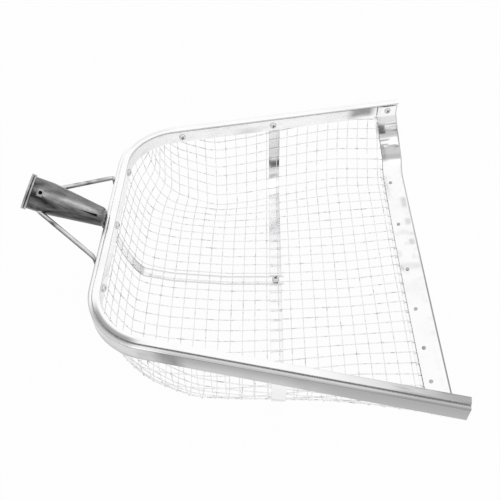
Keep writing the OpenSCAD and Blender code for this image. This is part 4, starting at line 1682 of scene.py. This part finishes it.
@dataclass
class Screws:
    """Pan head screws with a cross recess."""

    head_r: float = 4.0
    head_high: float = 2.4
    head_ease: float = 0.15
    shank_r: float = 2.0
    tip_ease: float = 0.6
    slot_long: float = 1.05
    slot_wide: float = 0.95
    slot_deep: float = 2.4
    slot_shade_reach: float = 0.62
    sides: int = 28
    height: float = -9.5
    tip_inset: float = 1.8
    strip_inner: float = 10.95
    arm_x: tuple[float, float, float] = (65.0, 171.0, 310.0)
    back_y: tuple[float, float, float] = (-82.0, 0.0, 82.0)
    lip_sink: float = 0.75
    arm_turn: float = 0.4
    back_turn: float = 0.9
    strap_turn: float = 0.6
    past_nut: float = 0.8
    dome: Table = ((0.0, 1.0), (0.4, 0.99), (0.68, 0.9), (0.88, 0.68), (0.98, 0.36), (1.0, 0.08))

    def solid(self, place: Matrix, shank: float, turn: float, sink: float) -> bmesh.types.BMesh:
        """Makes one screw.

        Args:
            place: Where it goes, with its point along +Z.
            shank: Height of its tip.
            turn: Turn of its recess.
            sink: Height that its head is seated at.

        Returns:
            The solid, with painted shade in its recess.
        """
        r, h, shank_r, ease = self.head_r, self.head_high, self.shank_r, self.tip_ease
        head = [(r * across, sink - h * high) for across, high in self.dome]
        seat = [(r - self.head_ease, sink), (shank_r, sink)]
        tip = [(shank_r, shank - ease), (shank_r - ease, shank), (0.0, shank)]
        body = lathe(head + seat + tip, Matrix.Identity(4), self.sides)
        for angle in (0.0, math.pi / 2):
            slot = bmesh.new()
            bmesh.ops.create_cube(slot, size=1.0)
            size = (r * self.slot_long, self.slot_wide, self.slot_deep)
            bmesh.ops.scale(slot, vec=size, verts=slot.verts)
            spin = Matrix.Rotation(angle + turn, 3, "Z")
            bmesh.ops.rotate(slot, matrix=spin, verts=slot.verts)
            bmesh.ops.translate(slot, vec=(0.0, 0.0, sink - h), verts=slot.verts)
            body = carve(body, slot)
        layer = tone_layer(body)
        # Painted shade deep in the cross recess.
        for vert in body.verts:
            deep = sink - h + 0.9 < vert.co.z < sink - 0.5
            if deep and math.hypot(vert.co.x, vert.co.y) < r * self.slot_shade_reach:
                vert[layer] = 1.0
        bmesh.ops.transform(body, matrix=place, verts=body.verts)
        bmesh.ops.recalc_face_normals(body, faces=body.faces)
        return body

    def on_arm(self, x: float, side: Side) -> Matrix:
        """Place on an arm, pointing into the rail from the clamp strip's face.

        Args:
            x: Distance from the back face.
            side: The arm's side.

        Returns:
            The place.
        """
        inset = self.strip_inner
        along = (x - NET.arm_point(0.0, inset).x) / math.cos(NET.splay)
        p = NET.arm_point(along, inset)
        place = Matrix.Translation((p.x, p.y, self.height)) @ Matrix.Rotation(NET.splay, 4, "Z")
        return side.mirror @ place @ Matrix.Rotation(-math.pi / 2, 4, "X")

    def on_back(self, y: float) -> Matrix:
        """Place on the back bar, pointing into the rail."""
        turn = Matrix.Rotation(-math.pi / 2, 4, "Y")
        return Matrix.Translation((self.strip_inner, y, self.height)) @ turn

    def on_straps(self, straps: Straps) -> Matrix:
        """Place where the straps cross, pointing down."""
        z = NET.floor_z(straps.cross_x, 0.0) + NET.mesh_half
        return Matrix.Translation((straps.cross_x, 0.0, z)) @ Matrix.Rotation(math.pi, 4, "X")

    @staticmethod
    def piece(name: str, parts: list[bmesh.types.BMesh], node: str) -> None:
        """Makes a piece of a set of screws."""
        add_piece(name, join(parts), [Finishes.screw], node)

    def build(self) -> None:
        """Builds the screws of both arms, of the back bar and of the straps."""
        shank = self.strip_inner - self.tip_inset
        sinks = (0.0, 0.0, self.lip_sink)
        for side in Side:
            parts = []
            for i, (x, sink) in enumerate(zip(self.arm_x, sinks)):
                turn = self.arm_turn + i
                parts.append(self.solid(self.on_arm(x, side), shank, turn, sink))
            self.piece(f"{side.word}_arm_screw_set", parts, f"{side.word}_arm_screws")
        parts = []
        for i, y in enumerate(self.back_y):
            parts.append(self.solid(self.on_back(y), shank, self.back_turn * i, 0.0))
        self.piece("back_screw_set", parts, "back_screws")
        straps = Straps()
        grip = 2 * (NET.mesh_half + NET.strip_thick) + straps.nut_high + self.past_nut
        screw = self.solid(self.on_straps(straps), grip, self.strap_turn, 0.0)
        self.piece("strap_screw_pan", [screw], "strap_screw")


# ------------------------------------------------------------- socket, braces


@dataclass
class PoleSocket:
    """The rolled sheet socket, its weld and its two brace rods."""

    pole_d: float = 29.0
    outer_d: float = 32.0
    straight: float = 22.5
    end_d: float = 18.6
    rim_d: float = 35.6
    rim_l: float = 4.8
    run: float = 83.5
    sides: int = 72
    hole_from_mouth: float = 12.4
    hole_turn: float = math.radians(35.0)
    hole_d: float = 3.8
    hole_sides: int = 20
    collar_d: float = 6.6
    collar_bore: float = 1.2
    collar_sink: float = 0.35
    dart_from_mouth: float = 51.0
    dart_turn: float = math.radians(46.0)
    dart_wide: float = 3.6
    least_gap: float = 0.03
    least_edge: float = 0.02
    weld_r: float = 1.2
    weld_steps: int = 64
    weld_rise: float = math.radians(25.0)
    weld_x: float = -0.4
    weld_front: float = 0.9
    fill_deep: float = 9.0
    bead_sides: int = 10
    rod_d: float = 4.6
    rod_sides: int = 14
    brace_top: tuple[float, float, float] = (-55.0, 15.4, 23.5)
    left_foot: float = 62.0
    right_foot: float = 52.0
    foot_long: float = 9.0
    foot_thick: float = 2.6
    foot_wide: float = 6.4
    back_gap: float = 0.02
    blob_r: float = 2.7
    bead_half: float = 4.0
    glint: Band = Band(14.0, 24.0, 60.0, 76.0, 0.42)
    hole_stain: Band = Band(3.2, 4.0, 8.0, 13.0, 0.3)
    rim_groove: Band = Band(1.6, 2.1, 2.7, 3.2, 0.75)

    @property
    def length(self) -> float:
        """The socket's length."""
        return NET.socket_length

    @property
    def wall(self) -> float:
        """Thickness of the sheet."""
        return (self.outer_d - self.pole_d) / 2

    def radius(self, s: float) -> float:
        """Outer radius at a distance from the mouth."""
        share = max(0.0, (s - self.straight) / (self.length - self.straight))
        return mix(self.outer_d, self.end_d, share) / 2

    def at(self, s: float = 0.0) -> Matrix:
        """Place on the axis, with +Z towards the frame.

        Args:
            s: Distance from the mouth.

        Returns:
            The place.
        """
        tilt = NET.socket_tilt
        axis = Vector((math.cos(tilt), 0.0, -math.sin(tilt)))
        turn = Matrix.Rotation(math.pi / 2 + tilt, 4, "Y")
        return Matrix.Translation(NET.mouth + axis * s) @ turn

    def turned(self, s: float, turn: float) -> Matrix:
        """Place on the axis with +Z outwards and +Y at the frame.

        Args:
            s: Distance from the mouth.
            turn: Angle of +Z from the top to the right.

        Returns:
            The place.
        """
        outwards = Matrix.Rotation(turn - math.pi / 2, 4, "Z")
        return self.at(s) @ outwards @ Matrix.Rotation(math.pi / 2, 4, "X")

    def profile(self) -> list[tuple[float, float]]:
        """Profile of the socket: round its curled rim, down its outside and up its inside.

        Returns:
            Radius and distance from the mouth, for each point.
        """
        bore, r, rim, straight = self.pole_d / 2, self.outer_d / 2, self.rim_d / 2, self.straight
        curl = [
            (0.95, 0.0), (0.35, 0.28), (0.0, 0.8), (0.0, 1.5), (0.35, 2.0), (0.7, 2.4),
            (0.35, 2.8), (0.0, 3.3), (0.0, 4.0), (0.3, 4.5), (0.9, self.rim_l),
        ]
        neck = [(r + 0.5, 4.85), (r + 0.1, 5.1), (r, 5.6), (r, 9.0), (r, 12.0), (r, 15.0)]
        neck += [(r, straight - 2.0), (r - 0.06, straight)]
        taper = (28.5, 34.0, 39.5, 45.0, 50.0, 55.0, 60.0, 65.0, 70.0, self.run)
        outside = [(rim - depth, s) for depth, s in curl] + neck
        outside += [(self.radius(s), s) for s in taper]
        inside = [(self.radius(self.run) - self.wall, self.run), (bore, straight)]
        return [(bore, 0.3), (bore + 0.3, 0.0)] + outside + inside

    def dart(self) -> bmesh.types.BMesh:
        """Makes the wedge that opens the dart.

        Returns:
            The wedge.
        """
        place = self.turned(self.dart_from_mouth, self.dart_turn)
        long = (self.length - self.dart_from_mouth) * 1.2
        half = self.dart_wide * 0.6
        corners = ((0.0, 0.0), (half, long), (-half, long))
        return loft([[place @ Vector((x, y, z)) for x, y in corners] for z in (2.0, 20.0)])

    def trim(self, body: bmesh.types.BMesh) -> None:
        """Cuts the socket off at the frame's back face and clears slivers from its mesh.

        Args:
            body: The socket, in its place.
        """
        geom = list(body.verts) + list(body.edges) + list(body.faces)
        cut = bmesh.ops.bisect_plane(body, geom=geom, plane_no=(1.0, 0.0, 0.0), clear_outer=True)
        rim = [item for item in cut["geom_cut"] if isinstance(item, bmesh.types.BMEdge)]
        bmesh.ops.triangle_fill(body, edges=rim, use_beauty=True)
        bmesh.ops.remove_doubles(body, verts=body.verts, dist=self.least_gap)
        bmesh.ops.dissolve_degenerate(body, dist=self.least_edge, edges=body.edges)
        bmesh.ops.triangulate(body, faces=[face for face in body.faces if len(face.verts) > 4])
        bmesh.ops.recalc_face_normals(body, faces=body.faces)

    def shell(self) -> None:
        """Builds the socket with its curled rim, hole, collar and dart."""
        at_hole = self.turned(self.hole_from_mouth, self.hole_turn)
        edge, bore, drill_r = self.collar_d / 2, self.collar_bore, self.hole_d / 2
        collar = [(bore, 0.0), (edge, 0.0), (edge - 0.5, 0.75), (edge - 1.0, 0.95), (bore, 0.8)]
        drill = [(0.0, 6.0), (drill_r, 6.0), (drill_r, 22.0), (0.0, 22.0)]
        seat = at_hole @ Matrix.Translation((0.0, 0.0, self.outer_d / 2 - self.collar_sink))
        body = lathe(self.profile(), self.at(), self.sides)
        body = carve(body, lathe(collar, seat, self.hole_sides), join_on=True)
        body = carve(body, lathe(drill, at_hole, self.hole_sides))
        body = carve(body, self.dart())
        self.trim(body)
        self.shade(body)
        add_piece("socket_shell", body, [Finishes.socket], "pole_socket", sharp=40.0)

    def tone(self, s: float, turn: float, r: float, from_hole: float) -> float:
        """Darkness of the socket: streaks, painted glint and underside shade; painted shade in the
        rim and inside.

        Args:
            s: Distance from the mouth.
            turn: Angle about the axis.
            r: Distance from the axis.
            from_hole: Distance from the middle of the screw hole.

        Returns:
            The darkness, 0 to 1.
        """
        # Painted shade: the inside is near black.
        if r < self.radius(min(s, self.length)) - self.wall * 0.6:
            return 0.95
        cloudy = cloud(s / 16.0, turn * 2.6, 3.0)
        scratch = cloud(s / 5.0, turn * 9.0, 8.0)
        # Painted shade in the rim's groove and under its edge, with scratches.
        if s < self.rim_l:
            return clamp(0.15 + self.rim_groove.at(s) + 0.4 * ramp(4.1, 4.7, s) + 0.3 * scratch)
        if from_hole < self.collar_d / 2:
            return 0.1
        # Painted glint along the top, and painted shade deepening round towards the underside.
        glint = math.exp(-(((turn - mix(0.52, 0.4, s / self.length)) / 0.15) ** 2))
        tone = 0.6 + 0.28 * ramp(0.6, 1.4, turn) + 0.24 * cloudy + 0.22 * scratch
        tone += self.hole_stain.at(from_hole) * ramp(-0.2, 0.5, cloudy)
        return clamp(tone - glint * self.glint.at(s))

    def shade(self, body: bmesh.types.BMesh) -> None:
        """Paints shade on the underside, in the curled rim at the mouth and inside the socket, and
        a glint along the top.

        Args:
            body: The socket, in its place.
        """
        layer = tone_layer(body)
        back = self.at().inverted()
        at_hole = self.turned(self.hole_from_mouth, self.hole_turn).inverted()
        for vert in body.verts:
            p, spot = back @ vert.co, at_hole @ vert.co
            from_hole = math.hypot(spot.x, spot.y) if spot.z > 0.0 else math.inf
            turn = math.atan2(-p.y, -p.x)
            vert[layer] = self.tone(p.z, turn, math.hypot(p.x, p.y), from_hole)

    def bead(self) -> bmesh.types.BMesh:
        """Makes the rippled bead round the socket's end.

        Returns:
            The bead.
        """
        steps, sides = self.weld_steps, self.bead_sides
        centre = Vector((self.weld_x, 0.0, NET.socket_end[2]))
        reach = (self.end_d + self.weld_r) / 2
        rings, tones = [], []
        for i in range(steps + 1):
            turn = mix(-self.weld_rise, math.pi + self.weld_rise, i / steps)
            out = Vector((0.0, math.cos(turn), -math.sin(turn)))
            taper = min(1.0, 0.35 + 6 * min(i, steps - i) / steps)
            size = self.weld_r * (0.95 + 0.16 * math.sin(i * 1.15)) * taper
            point = centre + out * (reach + 0.15 * math.sin(i * 0.7))
            rings.append(oval(point, out * size, Vector((size, 0.0, 0.0)), sides))
            tones.append([0.7 * ramp(0.35, 0.8, i / steps)] * sides)
        return loft(rings, None, tones)

    def fill(self) -> bmesh.types.BMesh:
        """Makes the uneven fill of weld in the socket's small end.

        Returns:
            The fill.
        """
        start, stop = self.length - self.fill_deep, self.length + 1.0
        inner = self.radius(start) - self.wall
        end = self.radius(stop) - self.wall
        rise = [(0.0, start), (inner * 0.5, start - 0.3), (inner - 0.05, start + 0.8)]
        fill = lathe(rise + [(end - 0.05, stop), (0.0, stop)], self.at(), steps=28)
        bmesh.ops.subdivide_edges(fill, edges=fill.edges, cuts=1, use_grid_fill=True)
        layer = tone_layer(fill)
        for vert in fill.verts:
            vert[layer] = 0.8
            vert.co.z += ripple(vert.co, 2.0, 0.25)
            vert.co.x = min(vert.co.x, self.weld_front)
        return fill

    def weld(self) -> None:
        """Builds the weld between the socket and the back bar."""
        whole = join([self.bead(), self.fill()])
        bmesh.ops.recalc_face_normals(whole, faces=whole.faces)
        add_piece("socket_weld_bead", whole, [Finishes.weld], "socket_weld", sharp=60.0)

    def foot(self, side: Side) -> Vector:
        """Where a brace turns down on the back bar, as if on the left."""
        y = self.left_foot if side is Side.LEFT else self.right_foot
        return Vector((-self.foot_thick / 2, y, 0.0))

    def brace(self, side: Side) -> None:
        """Builds one brace rod with its flattened foot.

        Args:
            side: The brace's side.
        """
        top, foot = Vector(self.brace_top), self.foot(side)
        along = foot - top
        end = foot - Vector((0.0, 0.0, self.foot_long))
        stations = [(top + along * (i / 12), 0.0) for i in range(11)]
        stations += [
            (foot - along * 0.05, 0.15),
            (foot - along * 0.012 + Vector((-0.1, 0.0, -0.3)), 0.6),
            (foot + Vector((0.0, 0.3, -1.6)), 0.9),
            (foot + Vector((0.0, 0.2, -2.8)), 1.0),
            (mix(foot, end, 0.65), 1.0),
            (mix(foot, end, 0.93), 1.0),
            (end, 0.97),
        ]
        across = Vector((0.0, 1.0, 0.0))
        sides = self.rod_sides
        rings, tones = [], []
        for (point, flat), heading in zip(stations, headings([point for point, _ in stations])):
            wide = (across - heading * heading.y).normalized() if flat < 0.5 else across
            thick = heading.cross(wide).normalized()
            half_w = mix(self.rod_d, self.foot_wide, flat) / 2
            half_t = mix(self.rod_d, self.foot_thick, flat) / 2
            if point is end:
                half_w, half_t = half_w * 0.85, half_t * 0.7
            ring = oval(point, wide * half_w, thick * half_t, sides)
            rings.append([Vector((min(p.x, -self.back_gap), side.value * p.y, p.z)) for p in ring])
            shade = []
            # Painted shade along the rod's two flanks, leaving a lighter line down its middle; the
            # blotches are random.
            for k, p in enumerate(ring):
                flank_shade = 0.85 * math.cos(math.tau * k / sides) ** 2
                shade.append(min(1.0, flank_shade + 0.6 * ramp(0.0, 0.4, ripple(p, 5.0, 1.0))))
            tones.append(shade)
        name, node = f"{side.word}_brace_rod", f"{side.word}_brace"
        add_piece(name, loft(rings, None, tones), [Finishes.brace], node, sharp=60.0)

    def brace_welds(self, side: Side) -> None:
        """Builds the bead at each end of one brace.

        Args:
            side: The brace's side.
        """
        blob = bmesh.new()
        bmesh.ops.create_icosphere(blob, subdivisions=3, radius=self.blob_r)
        for vert in blob.verts:
            vert.co *= 1.0 + ripple(vert.co, 1.1, 0.12)
            vert.co.x *= 1.35
        tilt = Matrix.Rotation(NET.socket_tilt, 3, "Y")
        bmesh.ops.rotate(blob, matrix=tilt, verts=blob.verts)
        spot = Vector(self.brace_top) - Vector((0.0, 0.6, 0.0))
        bmesh.ops.translate(blob, vec=spot, verts=blob.verts)
        y, half = self.foot(side).y, self.bead_half
        line = []
        for i in range(21):
            wave = 0.1 * math.sin(i * 1.3)
            line.append(Vector((-self.weld_r, y + mix(-half, half, i / 20), wave - self.foot_long)))
        whole = join([blob, rod(line, self.weld_r * 0.92, self.bead_sides)])
        bmesh.ops.scale(whole, vec=(1.0, side.value, 1.0), verts=whole.verts)
        bmesh.ops.recalc_face_normals(whole, faces=whole.faces)
        name, node = f"{side.word}_weld_beads", f"{side.word}_brace_welds"
        add_piece(name, whole, [Finishes.weld], node, sharp=60.0)

    def build(self) -> None:
        """Builds the socket, the welds and the braces."""
        self.shell()
        self.weld()
        for side in Side:
            self.brace(side)
            self.brace_welds(side)


# -------------------------------------------------------------------- studio


@dataclass
class Studio:
    """Floor, lights, world and camera."""

    camera_at: tuple[float, float, float] = (158.19, -448.45, 445.01)
    azimuth: float = math.radians(1.661)
    elevation: float = math.radians(47.607)
    roll: float = math.radians(-1.165)
    sensor_mm: float = 36.0
    focal_mm: float = 45.493632
    clip_start: float = 0.01
    aim: tuple[float, float, float] = (160.0, 0.0, -40.0)
    floor_size: float = 12.0
    floor_gap: float = 0.0002
    paper: float = 0.86
    paper_rough: float = 0.9
    paper_glow: float = 0.95
    mirrored_glow: float = 0.96
    sky: float = 0.86
    horizon: Table = (
        (0.0, 0.95), (0.49, 0.9), (0.505, 0.4), (0.54, 0.5), (0.6, 0.88), (0.68, 1.0), (1.0, 1.0)
    )

    def camera(self) -> None:
        """Stands the camera."""
        az, el, roll = self.azimuth, self.elevation, self.roll
        ahead = Vector((-math.sin(az) * math.cos(el), math.cos(az) * math.cos(el), -math.sin(el)))
        right = Vector((math.cos(az), math.sin(az), 0.0))
        up = right.cross(ahead)
        image_right = math.cos(roll) * right + math.sin(roll) * up
        image_up = -math.sin(roll) * right + math.cos(roll) * up
        turn = Matrix((image_right, image_up, -ahead)).transposed().to_4x4()
        data = bpy.data.cameras.new("camera")
        data.lens = self.focal_mm
        data.sensor_width = self.sensor_mm
        data.clip_start = self.clip_start
        camera = bpy.data.objects.new("camera", data)
        camera.matrix_world = Matrix.Translation(NET.to_row @ Vector(self.camera_at)) @ turn
        bpy.context.scene.collection.objects.link(camera)
        bpy.context.scene.camera = camera

    def floor(self) -> None:
        """Lays a plain pale floor under the lowest point of the net."""
        low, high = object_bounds()
        bm = bmesh.new()
        bmesh.ops.create_grid(bm, x_segments=1, y_segments=1, size=self.floor_size / 2)
        middle = ((low[0] + high[0]) / 2, (low[1] + high[1]) / 2, low[2] - self.floor_gap)
        bmesh.ops.translate(bm, verts=bm.verts, vec=middle)
        mesh = bpy.data.meshes.new("floor")
        bm.to_mesh(mesh)
        bm.free()
        floor = bpy.data.objects.new("floor", mesh)
        bpy.context.scene.collection.objects.link(floor)
        mesh.materials.append(self.floor_material())
        floor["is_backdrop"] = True

    def floor_material(self) -> bpy.types.Material:
        """White paper: white to the camera and to the metal, with a faint shadow.

        Returns:
            The material.
        """
        mat = bpy.data.materials.new("floor_paper")
        mat.use_nodes = True
        tree = mat.node_tree
        paper = tree.nodes["Principled BSDF"]
        paper.inputs["Base Color"].default_value = (self.paper, self.paper, self.paper, 1.0)
        paper.inputs["Roughness"].default_value = self.paper_rough
        glow = add_node(tree, "Emission", {"Color": WHITE})
        path = add_node(tree, "LightPath")
        seen = add_node(tree, "Math", {1: self.paper_glow}, operation="MULTIPLY")
        mirrored = add_node(tree, "Math", {1: self.mirrored_glow}, operation="MULTIPLY")
        share = add_node(tree, "Math", operation="MAXIMUM")
        blend = add_node(tree, "MixShader")
        connect(
            tree,
            (path, "Is Camera Ray", seen, 0),
            (path, "Is Glossy Ray", mirrored, 0),
            (seen, 0, share, 0),
            (mirrored, 0, share, 1),
            (share, 0, blend, "Fac"),
            (paper, "BSDF", blend, 1),
            (glow, "Emission", blend, 2),
            (blend, "Shader", tree.nodes["Material Output"], "Surface"),
        )
        return mat

    def world(self) -> None:
        """White surroundings with a darker strip at the horizon for the metal to show."""
        world = bpy.data.worlds.new("studio")
        bpy.context.scene.world = world
        world.use_nodes = True
        tree = world.node_tree
        plain = tree.nodes["Background"]
        plain.inputs["Color"].default_value = WHITE
        plain.inputs["Strength"].default_value = self.sky
        place = add_node(tree, "TexCoord")
        split = add_node(tree, "SeparateXYZ")
        rise = add_node(tree, "MapRange", {"From Min": -1.0})
        bands = add_node(tree, "ValToRGB")
        bands.color_ramp.interpolation = "EASE"
        stops = bands.color_ramp.elements
        first, *between, last = self.horizon
        for stop, (_, value) in zip(stops, (first, last)):
            stop.color = (value, value, value, 1.0)
        for position, value in between:
            stops.new(position).color = (value, value, value, 1.0)
        mirrored = add_node(tree, "Background")
        white = add_node(tree, "Background", {"Color": WHITE})
        path = add_node(tree, "LightPath")
        blend = add_node(tree, "MixShader")
        seen = add_node(tree, "MixShader")
        connect(
            tree,
            (place, "Generated", split, "Vector"),
            (split, "Z", rise, "Value"),
            (rise, "Result", bands, "Fac"),
            (bands, "Color", mirrored, "Color"),
            (path, "Is Glossy Ray", blend, "Fac"),
            (plain, "Background", blend, 1),
            (mirrored, "Background", blend, 2),
            (path, "Is Camera Ray", seen, "Fac"),
            (blend, "Shader", seen, 1),
            (white, "Background", seen, 2),
            (seen, "Shader", tree.nodes["World Output"], "Surface"),
        )

    def lamp(self, name: str, at: tuple[float, float, float], size: float, glow: float) -> None:
        """Hangs one square soft lamp that faces the net.

        Args:
            name: The lamp's name.
            at: Its place in row metres.
            size: Its side in metres.
            glow: Its brightness beside that of the surroundings.
        """
        data = bpy.data.lights.new(name, "AREA")
        data.shape = "SQUARE"
        data.size = size
        data.energy = glow * math.pi * size * size
        lamp = bpy.data.objects.new(name, data)
        ahead = NET.to_row @ Vector(self.aim) - Vector(at)
        turn = ahead.to_track_quat("-Z", "Y").to_matrix().to_4x4()
        lamp.matrix_world = Matrix.Translation(at) @ turn
        bpy.context.scene.collection.objects.link(lamp)

    def build(self) -> None:
        """Stands the camera and the lamps in their surroundings."""
        self.camera()
        self.world()
        self.lamp("key_lamp", (-0.5, -1.4, 1.1), 1.0, 0.5)
        self.lamp("fill_lamp", (1.3, -0.8, 1.3), 1.2, 0.35)
        bpy.context.scene.view_settings.view_transform = "Standard"


def main() -> None:
    """Builds the pieces in order and lists them."""
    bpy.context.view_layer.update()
    studio = Studio()
    studio.build()
    dress_nodes()
    for group in (FrameRail(), WireBasket(), Straps(), Lip(), Screws(), PoleSocket()):
        group.build()
        LOG.info("finished %s", type(group).__name__)
    studio.floor()


if __name__ == "__main__":
    logging.basicConfig(level=logging.INFO)
    main()
